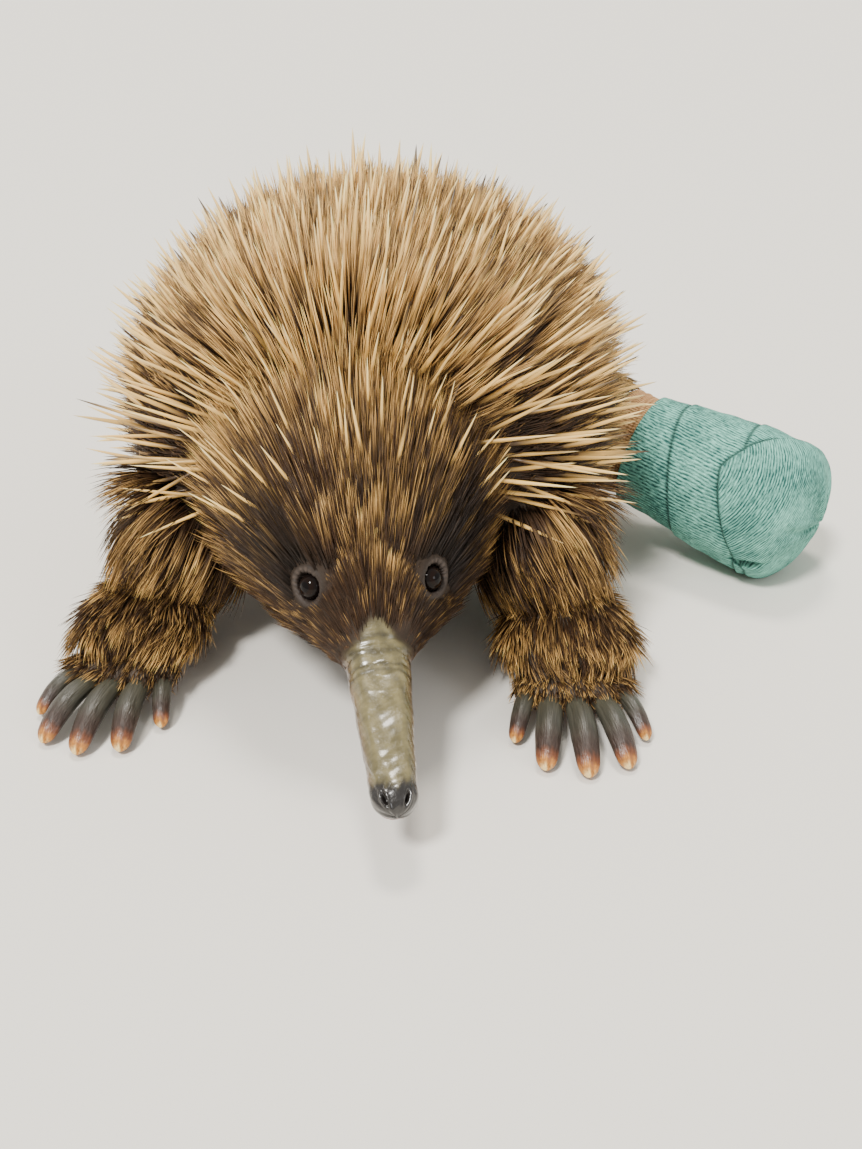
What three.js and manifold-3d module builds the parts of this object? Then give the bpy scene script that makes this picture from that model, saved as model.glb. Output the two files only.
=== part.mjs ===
// A short-beaked echidna, life size, standing on its feet with its left hind leg in a padded bandage.
// Millimetres, +Z up. It faces -Y and +X is its left side. The origin is on the floor, under the middle.
import * as THREE from "three";
import { mergeVertices } from "three/addons/utils/BufferGeometryUtils.js";
import Module from "manifold-3d";

const wasm = await Module();
wasm.setup();

const vec = (x, y, z) => new THREE.Vector3(x, y, z);
const degrees = THREE.MathUtils.degToRad;

// Driving dimensions. A form is a straight run of oval rings. Each row of rings gives the distance along
// the form, the rise of the ring's middle, its half width, and its reach up and down from that middle.
// blunt gives how long the rounded ends are.
const gap = 0.34; // kept between touching nodes
const headTurn = degrees(12); // towards its left
const headDrop = degrees(20); // below level
const headAlong = vec(
  Math.sin(headTurn) * Math.cos(headDrop),
  -Math.cos(headTurn) * Math.cos(headDrop),
  -Math.sin(headDrop),
);
const neck = vec(0, -66, 76);
const beakStart = 92; // distance from the neck to the edge of the bare beak
const eyeAlong = 68;
const eyeAngle = degrees(36); // round the head, up from the side
const eyeRadius = 4.9;
const eyeDepth = 3; // of the eye's middle under the face
const lidRadius = 5.6;
const lidThickness = 1.5;
const lidRise = 2.2; // of the lids above the eye's middle
const earAlong = 45;
const earAngle = degrees(2);
const earRadius = 6.5; // half the height of its slit
const earNarrow = 0.45;
const earRim = 1.6;
const beakEnd = 153;
const nostrilAlong = 149;
const nostrilAngle = degrees(32);
const nostrilRadius = 1.2;
const mouthLength = 16;
const mouthWidth = 11;
const mouthOpen = 0.8;
const mouthBelow = 2.6;
const ventRadius = 9;
const ventPlace = vec(0, 132, 26);
const coreDepth = 10; // of the dense fur that the spines stand in, over the back

const forms = {
  torso: {
    from: vec(0, 0, 0),
    along: vec(0, 1, 0),
    up: vec(0, 0, 1),
    rings: [
      [-94, 74, 56, 46, 40],
      [-60, 78, 79, 60, 52],
      [-15, 80, 91, 69, 60],
      [35, 81, 97, 73, 64],
      [80, 79, 93, 68, 61],
      [118, 73, 77, 56, 52],
      [150, 65, 50, 40, 38],
    ],
    blunt: [36, 38],
    sides: 26,
    pitch: 19,
  },
  head: {
    from: neck,
    along: headAlong,
    up: vec(0, 0, 1),
    rings: [
      [0, 0, 42, 40, 36],
      [25, 0, 41, 38, 34],
      [50, 0, 36, 32, 28],
      [68, -1, 28, 24, 22],
      [82, -2, 18, 15.5, 15],
      [beakStart, -2.5, 12, 10.5, 10.5],
    ],
    blunt: [12, 0],
    sides: 20,
    pitch: 10,
  },
  beak: {
    from: neck,
    along: headAlong,
    up: vec(0, 0, 1),
    rings: [
      [beakStart + gap, -2.5, 11.9, 10.4, 10.4],
      [105, -2.8, 10.6, 8.6, 8.6],
      [122, -2.6, 9.2, 7.2, 7.2],
      [140, -2.2, 8, 6.3, 6.2],
      [beakEnd, -2, 7.6, 6.3, 6],
    ],
    blunt: [0, 7],
    sides: 14,
    pitch: 11,
  },
  tail: {
    from: vec(0, 130, 60),
    along: vec(0, 0.93, -0.37).normalize(),
    up: vec(0, 0, 1),
    rings: [
      [0, 0, 32, 28, 26],
      [26, 0, 25, 21, 19],
      [54, 0, 14, 12, 12],
    ],
    blunt: [6, 18],
    sides: 14,
    pitch: 14,
  },
};

// One table for both sides: side is 1 on its left and -1 on its right.
const sides = { left: 1, right: -1 };

function armForm(side) {
  const shoulder = vec(side * 58, -44, 64);
  const wrist = vec(side * 86, -74, 24);
  return {
    from: shoulder,
    along: wrist.clone().sub(shoulder).normalize(),
    up: vec(0, -1, 0),
    rings: [
      [0, 0, 33, 33, 33],
      [30, 0, 29, 29, 28],
      [57, 0, 22, 22, 20],
    ],
    blunt: [20, 12],
    sides: 14,
    pitch: 13,
  };
}

function handForm(side) {
  return {
    from: vec(side * 85, -68, 17),
    along: vec(side * 0.1, -0.995, 0),
    up: vec(0, 0, 1),
    rings: [
      [-12, 0, 16, 13, 16],
      [6, 0, 22, 15, 18],
      [20, -1, 25, 14, 17],
      [34, -3, 23, 11, 15],
      [45, -6, 19, 8, 12],
    ],
    blunt: [12, 10],
    sides: 14,
    pitch: 13,
  };
}

const hindRight = {
  thigh: {
    from: vec(-62, 84, 58),
    along: vec(-94, 96, 22).sub(vec(-62, 84, 58)).normalize(),
    up: vec(0, -1, 0),
    rings: [
      [0, 0, 37, 39, 35],
      [26, 0, 31, 31, 29],
      [48, 0, 20, 20, 19],
    ],
    blunt: [24, 10],
    sides: 14,
    pitch: 12,
  },
  foot: {
    from: vec(-94, 91, 15),
    along: vec(-0.6, 0.8, 0),
    up: vec(0, 0, 1),
    rings: [
      [-14, 0, 14, 12, 14],
      [4, 0, 19, 14, 16],
      [22, -1, 20, 12, 15.5],
      [36, -4, 16, 9, 11.5],
    ],
    blunt: [12, 10],
    sides: 14,
    pitch: 13,
  },
};

// The bandaged leg is held out stiffly to the side and a little forward.
const splint = { from: vec(60, 84, 60), along: vec(0.85, -0.49, -0.18).normalize(), up: vec(0, 0, 1) };
const cuffStart = 66;
const wrapStart = 80;
const hindLeft = {
  thigh: {
    ...splint,
    rings: [
      [0, 0, 34, 34, 34],
      [32, 0, 31, 31, 31],
      [cuffStart, 0, 24, 24, 24],
    ],
    blunt: [20, 0],
    sides: 14,
    pitch: 14,
  },
  cuff: {
    ...splint,
    rings: [
      [cuffStart + gap, 0, 25.5, 25.5, 25.5],
      [wrapStart, 0, 25, 25, 25],
    ],
    blunt: [0, 0],
    sides: 20,
    pitch: 14,
  },
  wrap: {
    ...splint,
    rings: [
      [wrapStart + gap, 0, 27, 26.5, 26.5],
      [100, 0, 30, 28.5, 29],
      [125, 0, 34, 31, 33],
      [148, -0.5, 35, 31, 34.5],
      [170, 1, 31, 26, 30.5],
    ],
    blunt: [0, 15],
    sides: 20,
    pitch: 16,
  },
};

// Digits and claws, from the inner side of the hand outwards: offset across, how far the digit reaches
// along the hand, its radius, then the claw's length and half width.
const handDigits = [
  [-19, 50, 5.4, 20, 3.5],
  [-10.2, 55, 6.4, 31, 4.8],
  [0, 56, 6.6, 34, 5],
  [10.2, 55, 6.4, 31, 4.8],
  [19, 50, 5.4, 20, 3.5],
];
// The second toe carries the long claw that it combs itself with.
const footDigits = [
  [16, 41, 5.4, 11, 3],
  [7.5, 47, 6.2, 42, 4],
  [-1, 47, 5, 24, 3.1],
  [-8.5, 46, 4.6, 14, 2.7],
  [-15, 42, 4.2, 11, 2.5],
];
const stagger = [0.3, 0.7]; // where the first piece of every other row stands, as a share of the pitch
const wander = 0.35; // how far a piece of coat strays from its even place, as a share of the pitch
const coatSway = 7; // degrees that pieces of coat stray from their lie
const fanPerMillimetre = 0.016; // how much a digit turns out for each millimetre that it stands aside

// Coats. Each covers part of a form, between two distances and two angles round it, a pitch apart. lean is
// how far its pieces lie over from standing straight out, and flow is the way they lie: along the form or
// down it.
const spineShares = [
  [0, 1],
  [1, 0],
];
const quillShares = [
  [0, 0.85],
  [0.6, 1],
  [1, 0],
];
const lockShares = [
  [0, 0.85],
  [0.55, 1],
  [1, 0],
];
const backSpine = { shares: spineShares, sides: 3, width: 2.3, thickness: 2.3, curl: 0 };
const tailSpine = { shares: quillShares, sides: 4, width: 2.5, thickness: 2.5, curl: 0.03 };
const lock = { shares: lockShares, sides: 4, width: 5, thickness: 1.2, curl: 0.1 };
const backCoat = { ...backSpine, pitch: 12.6, lean: 46, flow: [1, 0], length: [37, 45] };
const crownCoat = { ...backSpine, pitch: 9.5, lean: 44, flow: [-1, 0], length: [29, 36] };
const tailCoat = { ...tailSpine, pitch: 9, lean: 54, flow: [1, 0], length: [56, 72] };
const flankFur = { ...lock, pitch: 15, lean: 62, flow: [0.8, 0.6], length: [25, 31] };
const browFur = { ...lock, pitch: 11, lean: 52, flow: [-1, 0], length: [17, 21] };
const cheekFur = { ...lock, pitch: 12, lean: 64, flow: [-1, 0.2], length: [16, 21] };
const legFur = { ...lock, pitch: 16, lean: 64, flow: [1, 0], length: [20, 26] };
const coats = {
  torso: [
    { ...backCoat, from: -91, to: 149, low: -8, high: 188 },
    { ...flankFur, from: -70, to: 130, low: -42, high: -14 },
    { ...flankFur, from: -70, to: 130, low: 194, high: 222 },
  ],
  head: [
    { ...crownCoat, from: 14, to: 44, low: 10, high: 170 },
    { ...browFur, from: 50, to: 58, low: 38, high: 142 },
    { ...cheekFur, from: 26, to: 56, low: -80, high: -24 },
    { ...cheekFur, from: 26, to: 56, low: 204, high: 260 },
  ],
  tail: [{ ...tailCoat, from: 4, to: 53, low: -30, high: 210 }],
  arm: [{ ...legFur, from: 16, to: 50, low: 20, high: 330 }],
  thigh: [{ ...legFur, from: 16, to: 44, low: 20, high: 330 }],
};

// The row of a table at distance t, on a smooth curve through its rows.
function rowAt(table, t) {
  const last = table.length - 1;
  let i = 0;
  while (i < last - 1 && t > table[i + 1][0]) i++;
  const [low, high] = [table[i], table[i + 1]];
  const span = high[0] - low[0];
  const x = THREE.MathUtils.clamp((t - low[0]) / span, 0, 1);
  const slope = (k, column) => {
    const [a, b] = [table[Math.max(k - 1, 0)], table[Math.min(k + 1, last)]];
    return (b[column] - a[column]) / (b[0] - a[0]);
  };
  return low.map((value, column) => {
    const rise = high[column] - value;
    const bendA = slope(i, column) * span - rise;
    const bendB = rise - slope(i + 1, column) * span;
    return value + rise * x + x * (1 - x) * (bendA * (1 - x) + bendB * x);
  });
}

// The middle, reaches and directions of a form's ring at distance t.
function ringAt(form, t) {
  const table = form.rings;
  const [first, last] = [table[0][0], table[table.length - 1][0]];
  const round = (depth, length) => {
    if (depth >= length) return 1;
    return Math.sqrt(1 - (1 - Math.max(depth, 0) / length) ** 2);
  };
  const taper = round(t - first, form.blunt[0]) * round(last - t, form.blunt[1]);
  const [, rise, width, high, low] = rowAt(table, t);
  const side = form.along.clone().cross(form.up).normalize();
  const up = side.clone().cross(form.along).normalize();
  const middle = form.from.clone().addScaledVector(form.along, t).addScaledVector(up, rise);
  return { middle, side, up, width: width * taper, high: high * taper, low: low * taper };
}

function pointOn(ring, angle) {
  const reach = Math.sin(angle) > 0 ? ring.high : ring.low;
  return ring.middle
    .clone()
    .addScaledVector(ring.side, ring.width * Math.cos(angle))
    .addScaledVector(ring.up, reach * Math.sin(angle));
}

// A place on a form's surface, with the direction out of it and the direction along the form.
function onForm(form, t, angle) {
  const step = 0.5;
  const turn = 0.05;
  const at = (ahead, about) => pointOn(ringAt(form, t + ahead), angle + about);
  const along = at(step, 0).sub(at(-step, 0)).normalize();
  const round = at(0, turn).sub(at(0, -turn)).normalize();
  return { place: at(0, 0), along, out: along.clone().cross(round).normalize() };
}

// Sets a geometry on a place: its x runs round the form, its y along it and its z out of it.
function setOn(geometry, { place, along, out }, rise) {
  const round = along.clone().cross(out);
  const basis = new THREE.Matrix4().makeBasis(round, along, out);
  const at = place.clone().addScaledVector(out, rise);
  return geometry.clone().applyMatrix4(basis).translate(at.x, at.y, at.z);
}

// Sets a geometry across a form at distance t: its x runs along the form and its y sideways.
function setAlong(geometry, form, t, rise) {
  const { middle, side, up } = ringAt(form, t);
  const basis = new THREE.Matrix4().makeBasis(form.along, side.clone().negate(), up);
  const at = middle.addScaledVector(up, rise);
  return geometry.clone().applyMatrix4(basis).translate(at.x, at.y, at.z);
}

// Draws between nothing and one that are the same in every run.
function drawsFrom(seed) {
  const [factor, step, range] = [1664525, 1013904223, 2 ** 32];
  let state = seed;
  return () => {
    state = (state * factor + step) % range;
    return state / range;
  };
}

// Distances along a form that lie one pitch apart on its surface, also round its blunt ends.
function rowsAlong(form, from, to, pitch) {
  const step = 0.25;
  const rows = [from];
  let walked = 0;
  let last = pointOn(ringAt(form, from), Math.PI / 2);
  for (let t = from + step; t <= to; t += step) {
    const next = pointOn(ringAt(form, t), Math.PI / 2);
    walked += next.distanceTo(last);
    last = next;
    if (walked >= pitch) {
      rows.push(t);
      walked -= pitch;
    }
  }
  return rows;
}

// The pieces of a coat. Each is a function that makes it, with a margin round it to test what it touches.
function piecesOf(form, coat, draw) {
  const pieces = [];
  const [low, high] = [degrees(coat.low), degrees(coat.high)];
  rowsAlong(form, coat.from, coat.to, coat.pitch).forEach((t, row) => {
    const ring = ringAt(form, t);
    const count = Math.max(1, Math.round(((high - low) * (ring.width + ring.high)) / 2 / coat.pitch));
    for (let k = 0; k < count; k++) {
      const part = (k + stagger[row % 2] + wander * (draw() - 0.5)) / count;
      const spot = onForm(form, t, low + (high - low) * part);
      const down = vec(0, 0, -1).projectOnPlane(spot.out);
      const flow = spot.along.clone().multiplyScalar(coat.flow[0]).addScaledVector(down, coat.flow[1]);
      const aside = flow.normalize().clone().cross(spot.out);
      const sway = degrees(coatSway) * (2 * draw() - 1);
      const lean = degrees(coat.lean + coatSway * (2 * draw() - 1));
      const length = coat.length[0] + (coat.length[1] - coat.length[0]) * draw();
      const lie = flow.multiplyScalar(Math.cos(sway)).addScaledVector(aside, Math.sin(sway));
      pieces.push((leanShare, margin) => {
        const over = lean * leanShare;
        const ahead = spot.out.clone().multiplyScalar(Math.cos(over)).addScaledVector(lie, Math.sin(over));
        const up = spot.out.clone().projectOnPlane(ahead).normalize();
        return horn({
          root: spot.place.clone(),
          ahead,
          up,
          length: length + 2 * margin,
          width: coat.width + 2 * margin,
          thickness: coat.thickness + 2 * margin,
          lift: coat.curl * length,
          shares: coat.shares,
          sides: coat.sides,
        });
      });
    }
  });
  return pieces;
}

// Distances of a form's rings: close together where an end is rounded, and one pitch apart between.
function stations(form) {
  const [first, last] = [form.rings[0][0], form.rings[form.rings.length - 1][0]];
  const [nose, heel] = form.blunt;
  const capSteps = 3;
  const caps = Array.from({ length: capSteps }, (_, k) => 1 - Math.cos((k / capSteps) * (Math.PI / 2)));
  const start = nose ? caps.map((depth) => first + nose * depth) : [];
  const end = heel ? caps.map((depth) => last - heel * depth).reverse() : [];
  const length = last - heel - first - nose;
  const steps = Math.max(1, Math.round(length / form.pitch));
  const middle = Array.from({ length: steps + 1 }, (_, k) => first + nose + (length * k) / steps);
  return [...start, ...middle, ...end];
}

// A closed surface over rings of points. A ring of one point closes an end to a tip.
function skinOver(rings) {
  const places = [];
  const faces = [];
  const add = (p) => places.push(p.x, p.y, p.z) / 3 - 1;
  const rows = rings.map((ring) => ring.map(add));
  for (let i = 0; i + 1 < rows.length; i++) {
    const [a, b] = [rows[i], rows[i + 1]];
    const count = Math.max(a.length, b.length);
    for (let j = 0; j < count; j++) {
      const next = (j + 1) % count;
      if (a.length > 1) faces.push(a[j], b.length > 1 ? b[j] : b[0], a[next]);
      if (b.length > 1) faces.push(a.length > 1 ? a[next] : a[0], b[j], b[next]);
    }
  }
  const close = (row, ring, turned) => {
    if (row.length === 1) return;
    const middle = add(ring.reduce((sum, p) => sum.add(p), vec(0, 0, 0)).divideScalar(ring.length));
    row.forEach((corner, j) => {
      const next = row[(j + 1) % row.length];
      faces.push(middle, ...(turned ? [next, corner] : [corner, next]));
    });
  };
  close(rows[0], rings[0], false);
  close(rows[rows.length - 1], rings[rings.length - 1], true);
  return new THREE.BufferGeometry()
    .setAttribute("position", new THREE.BufferAttribute(new Float32Array(places), 3))
    .setIndex(faces);
}

function formGeometry(form) {
  const smallest = 0.01;
  return skinOver(
    stations(form).map((t) => {
      const ring = ringAt(form, t);
      if (ring.width < smallest) return [ring.middle];
      return Array.from({ length: form.sides }, (_, j) => pointOn(ring, (j / form.sides) * 2 * Math.PI));
    }),
  );
}

// The same surface moved out along its normals by an amount that may depend on the normal and the place.
function grown(geometry, amount) {
  const made = merged(geometry);
  made.computeVertexNormals();
  const [place, normal] = [made.getAttribute("position"), made.getAttribute("normal")];
  for (let i = 0; i < place.count; i++) {
    const out = vec(0, 0, 0).fromBufferAttribute(normal, i);
    const at = vec(0, 0, 0).fromBufferAttribute(place, i);
    const by = typeof amount === "function" ? amount(out, at) : amount;
    const moved = at.addScaledVector(out, by);
    place.setXYZ(i, moved.x, moved.y, moved.z);
  }
  return made;
}

function merged(geometry) {
  const bare = geometry.clone();
  bare.deleteAttribute("normal");
  bare.deleteAttribute("uv");
  return mergeVertices(bare);
}

function solidOf(geometry) {
  const bare = merged(geometry);
  const vertProperties = new Float32Array(bare.getAttribute("position").array);
  const triVerts = new Uint32Array(bare.index.array);
  return new wasm.Manifold(new wasm.Mesh({ numProp: 3, vertProperties, triVerts }));
}

function geometryOf(solid) {
  const mesh = solid.getMesh();
  return new THREE.BufferGeometry()
    .setAttribute("position", new THREE.BufferAttribute(mesh.vertProperties, 3))
    .setIndex(new THREE.BufferAttribute(mesh.triVerts, 1));
}

const union = (solids) => solids.reduce((sum, solid) => sum.add(solid));
const bigger = (best, body) => (body.volume() > best.volume() ? body : best);
const largest = (solid) => solid.decompose().reduce(bigger);

// Everything under the floor, which cuts the soles flat.
const slab = 1200;
const underFloor = solidOf(new THREE.BoxGeometry(slab, slab, slab).translate(0, 0, -slab / 2));

// A node's solid, and the same solid grown by the gap, which its neighbours are cut by.
function piece(geometries) {
  return {
    solid: union(geometries.map(solidOf)),
    fat: union(geometries.map((geometry) => solidOf(grown(geometry, gap)))),
  };
}

function cutBy(own, others) {
  return { ...own, solid: others.reduce((left, other) => left.subtract(other.fat), own.solid) };
}

// A claw, digit, spine or lock: a tapered, curved run from a root point. shares gives its size at each part
// of its length, and a share of nothing ends it in a point.
function horn({ root, ahead, up, length, width, thickness, drop = 0, lift = 0, shares, sides = 8 }) {
  const side = ahead.clone().cross(up).normalize();
  const rings = shares.map(([part, share]) => {
    const middle = root
      .clone()
      .addScaledVector(ahead, length * part)
      .addScaledVector(up, lift * 4 * part * (1 - part) - drop * part * part);
    if (share === 0) return [middle];
    return Array.from({ length: sides }, (_, j) => {
      const angle = (j / sides) * 2 * Math.PI;
      return middle
        .clone()
        .addScaledVector(side, width * share * Math.cos(angle))
        .addScaledVector(up, thickness * share * Math.sin(angle));
    });
  });
  return skinOver(rings);
}

const digitShares = [
  [0, 0.7],
  [0.5, 1],
  [1, 0.76],
];
const tipShare = 0.24;
const clawShares = [
  [0, 0.9],
  [0.28, 1],
  [0.6, 0.86],
  [0.86, 0.56],
  [1, tipShare],
];
const digitHeight = 8.5; // of the middle of each digit above the floor
const digitSlimness = 3.4; // length over radius
const clawFlatness = 0.68; // thickness over width
const clawArch = 0.07; // rise of its middle over its length
const clawDrop = 6; // of its tip below its root
const clawMargin = 1.2; // kept between a claw and the floor

// The digits and claws of a hand or foot. handed turns the order of the digits for the other side.
function paw(form, digits, handed) {
  const level = vec(0, 0, 1);
  const across = form.along.clone().cross(level).normalize().multiplyScalar(handed);
  return digits.map(([aside, reach, radius, clawLength, clawWidth]) => {
    const ahead = form.along
      .clone()
      .addScaledVector(across, aside * fanPerMillimetre)
      .normalize();
    const tip = vec(form.from.x, form.from.y, digitHeight)
      .addScaledVector(form.along, reach)
      .addScaledVector(across, aside);
    const digitLength = radius * digitSlimness;
    const digit = horn({
      root: tip.clone().addScaledVector(ahead, -digitLength),
      ahead,
      up: level,
      length: digitLength,
      width: radius,
      thickness: Math.min(radius, digitHeight - clawMargin),
      shares: digitShares,
    });
    const thickness = clawWidth * clawFlatness;
    const claw = horn({
      root: tip.clone().addScaledVector(ahead, gap),
      ahead,
      up: level,
      length: clawLength,
      width: clawWidth,
      thickness,
      drop: Math.min(clawDrop, digitHeight - thickness * tipShare - clawMargin),
      lift: clawLength * clawArch,
      shares: clawShares,
    });
    return { digit, claw };
  });
}

// Materials by the part of the animal.
const look = (color, roughness) => new THREE.MeshStandardMaterial({ color, roughness, metalness: 0 });
const looks = {
  coat: look(0x5a3f22, 0.9),
  beak: look(0x54503f, 0.4),
  eye: look(0x120a08, 0.1),
  paw: look(0x6b4d2c, 0.9),
  claw: look(0x4a4436, 0.45),
  wrap: look(0x2f6e62, 0.9),
  cuff: look(0xc98f4a, 0.9),
  vent: look(0x6e5a55, 0.4),
};

const animal = new THREE.Group();
const placed = [];

// Adds a node: cut by the floor and by what it grows from, keeping its largest body.
function addNode(name, material, own, grownFrom = []) {
  const cut = cutBy(own, grownFrom);
  const solid = largest(cut.solid.subtract(underFloor));
  const node = { name, solid, fat: own.fat, material };
  placed.push(node);
  return node;
}

// Takes geometries out of a node.
function carve(node, geometries) {
  node.solid = geometries.reduce((left, geometry) => left.subtract(solidOf(geometry)), node.solid);
}

// Torso, with the dense fur that the spines stand in as a smooth core.
const overBack = (normal) => coreDepth * THREE.MathUtils.clamp(0.6 + 0.6 * normal.z, 0.3, 1);
const torso = addNode("torso", looks.coat, piece([grown(formGeometry(forms.torso), overBack)]));

// Head. Its fur thins out from the crown to the face.
const crownEnd = 58;
const overCrown = (normal, place) => {
  const bare = place.clone().sub(neck).dot(headAlong) / crownEnd;
  const over = THREE.MathUtils.clamp(0.5 + normal.z, 0, 0.9);
  return coreDepth * over * THREE.MathUtils.clamp(1 - bare * bare, 0, 1);
};
// Angles round the head start from its right side.
const onHead = (along, angle, side) => onForm(forms.head, along, side > 0 ? Math.PI - angle : angle);
const lids = Object.values(sides).map((side) => {
  const ring = new THREE.TorusGeometry(lidRadius, lidThickness, 5, 12);
  return setOn(ring, onHead(eyeAlong, eyeAngle, side), lidRise - eyeDepth);
});
const earRims = Object.values(sides).map((side) => {
  const rim = new THREE.TorusGeometry(earRadius, earRim, 4, 10).scale(earNarrow, 1, 1);
  return setOn(rim, onHead(earAlong, earAngle, side), 0);
});
const headCore = grown(formGeometry(forms.head), overCrown);
const head = addNode("head", looks.coat, piece([headCore, ...lids, ...earRims]), [torso]);
for (const [name, side] of Object.entries(sides)) {
  const ball = new THREE.SphereGeometry(eyeRadius, 12, 8);
  const socket = onHead(eyeAlong, eyeAngle, side);
  const eye = addNode("eye_" + name, looks.eye, piece([setOn(ball, socket, -eyeDepth)]));
  head.solid = head.solid.subtract(eye.fat);
  const slit = new THREE.SphereGeometry(earRadius, 6, 5).scale(earNarrow * 0.8, 1, 1);
  carve(head, [setOn(slit, onHead(earAlong, earAngle, side), 0)]);
}
head.solid = largest(head.solid);

// Beak, with its nostrils on top of the tip and the small mouth under it.
const beak = addNode("beak", looks.beak, piece([formGeometry(forms.beak)]));
const nostrils = [-1, 1].map((side) => {
  const nostril = onForm(forms.beak, nostrilAlong, Math.PI / 2 - side * nostrilAngle);
  return setOn(new THREE.SphereGeometry(nostrilRadius, 8, 6), nostril, 0);
});
const mouth = new THREE.BoxGeometry(mouthLength, mouthWidth, mouthOpen);
carve(beak, [...nostrils, setAlong(mouth, forms.beak, beakEnd, -mouthBelow)]);
beak.solid = largest(beak.solid);

const arms = Object.entries(sides).map(([name, side]) => {
  const arm = addNode("arm_" + name, looks.coat, piece([formGeometry(armForm(side))]), [torso, head]);
  const form = handForm(side);
  const digits = paw(form, handDigits, -side);
  const flesh = [formGeometry(form), ...digits.map(({ digit }) => digit)];
  addNode("hand_" + name, looks.paw, piece(flesh), [arm]);
  digits.forEach(({ claw }, k) => addNode(`claw_fore_${name}_${k + 1}`, looks.claw, piece([claw])));
  return { node: arm, form: armForm(side) };
});

const thighRight = addNode("thigh_right", looks.coat, piece([formGeometry(hindRight.thigh)]), [torso]);
const footDigitsMade = paw(hindRight.foot, footDigits, 1);
addNode(
  "foot_right",
  looks.paw,
  piece([formGeometry(hindRight.foot), ...footDigitsMade.map((d) => d.digit)]),
  [thighRight],
);
footDigitsMade.forEach(({ claw }, k) => addNode(`claw_hind_right_${k + 1}`, looks.claw, piece([claw])));

const thighLeft = addNode("thigh_left", looks.coat, piece([formGeometry(hindLeft.thigh)]), [torso]);
addNode("bandage_cuff", looks.cuff, piece([formGeometry(hindLeft.cuff)]), [torso]);
addNode("bandage_wrap", looks.wrap, piece([formGeometry(hindLeft.wrap)]));

const tail = addNode("tail", looks.coat, piece([formGeometry(forms.tail)]), [torso]);

const bulb = new THREE.SphereGeometry(ventRadius, 12, 8).translate(ventPlace.x, ventPlace.y, ventPlace.z);
addNode("vent", looks.vent, piece([bulb]), [torso, tail]);

// Spines and locks. One that would touch another node, or the floor, is stood up more or left out.
const boxOf = (solid) => {
  const geometry = geometryOf(solid);
  geometry.computeBoundingBox();
  return geometry.boundingBox;
};
const floorMargin = 0.5;
const leanShares = [1, 0.75, 0.5, 0.25];
function isClear(margin, node, others) {
  margin.computeBoundingBox();
  if (margin.boundingBox.min.z < floorMargin) return false;
  const near = others.filter((other) => other !== node && other.box.intersectsBox(margin.boundingBox));
  if (!near.length) return true;
  const solid = solidOf(margin);
  return near.every((other) => solid.intersect(other.solid).isEmpty());
}

const draw = drawsFrom(71);
function grow(node, form, coat) {
  placed.forEach((other) => (other.box = boxOf(other.solid)));
  const rooted = [];
  for (const make of piecesOf(form, coat, draw)) {
    const share = leanShares.find((leanShare) => isClear(make(leanShare, 2 * gap), node, placed));
    if (share !== undefined) rooted.push(solidOf(make(share, 0)));
  }
  node.solid = largest(union([node.solid, ...rooted]));
}
const dressed = [
  [tail, forms.tail, coats.tail],
  [head, forms.head, coats.head],
  [torso, forms.torso, coats.torso],
  ...arms.map(({ node, form }) => [node, form, coats.arm]),
  [thighRight, hindRight.thigh, coats.thigh],
  [thighLeft, hindLeft.thigh, coats.thigh],
];
dressed.forEach(([node, form, cover]) => cover.forEach((coat) => grow(node, form, coat)));

for (const { name, solid, material } of placed) {
  const mesh = new THREE.Mesh(geometryOf(solid), material);
  mesh.name = name;
  animal.add(mesh);
}
const box = new THREE.Box3().setFromObject(animal);
const middle = box.getCenter(vec(0, 0, 0));
animal.position.set(-middle.x, -middle.y, -box.min.z);

export default animal;
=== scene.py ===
"""A short-beaked echidna, life size, standing on its feet with its left hind leg in a padded bandage.

Shapes are worked out in millimetres, in the animal's own frame: +Z up, facing -Y, +X its left side.
to_row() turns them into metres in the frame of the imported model.
"""
import math

import bpy
import numpy as np
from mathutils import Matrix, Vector
from mathutils.kdtree import KDTree


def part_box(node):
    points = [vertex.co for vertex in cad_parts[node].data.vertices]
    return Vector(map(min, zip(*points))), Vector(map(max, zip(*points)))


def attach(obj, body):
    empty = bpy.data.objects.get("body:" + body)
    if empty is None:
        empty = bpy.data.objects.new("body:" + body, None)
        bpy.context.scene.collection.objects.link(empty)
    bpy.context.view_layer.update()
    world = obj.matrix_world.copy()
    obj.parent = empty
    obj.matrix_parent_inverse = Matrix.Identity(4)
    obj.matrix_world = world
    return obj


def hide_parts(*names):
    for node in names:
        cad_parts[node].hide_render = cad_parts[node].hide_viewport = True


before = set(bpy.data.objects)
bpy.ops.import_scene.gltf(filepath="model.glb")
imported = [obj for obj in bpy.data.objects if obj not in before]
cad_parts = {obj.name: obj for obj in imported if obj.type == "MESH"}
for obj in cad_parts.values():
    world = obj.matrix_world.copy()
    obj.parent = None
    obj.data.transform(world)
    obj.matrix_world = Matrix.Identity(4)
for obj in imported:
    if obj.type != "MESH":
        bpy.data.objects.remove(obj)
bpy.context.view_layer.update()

MM = 0.001
TAU = 2 * math.pi


def unit(v):
    v = np.asarray(v, float)
    return v / np.maximum(np.linalg.norm(v, axis=-1, keepdims=True), 1e-12)


# Driving dimensions, those of the solids. A form is a straight run of oval rings. Each row gives the
# distance along it, the rise of the ring's middle, its half width, and its reach up and down.

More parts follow.
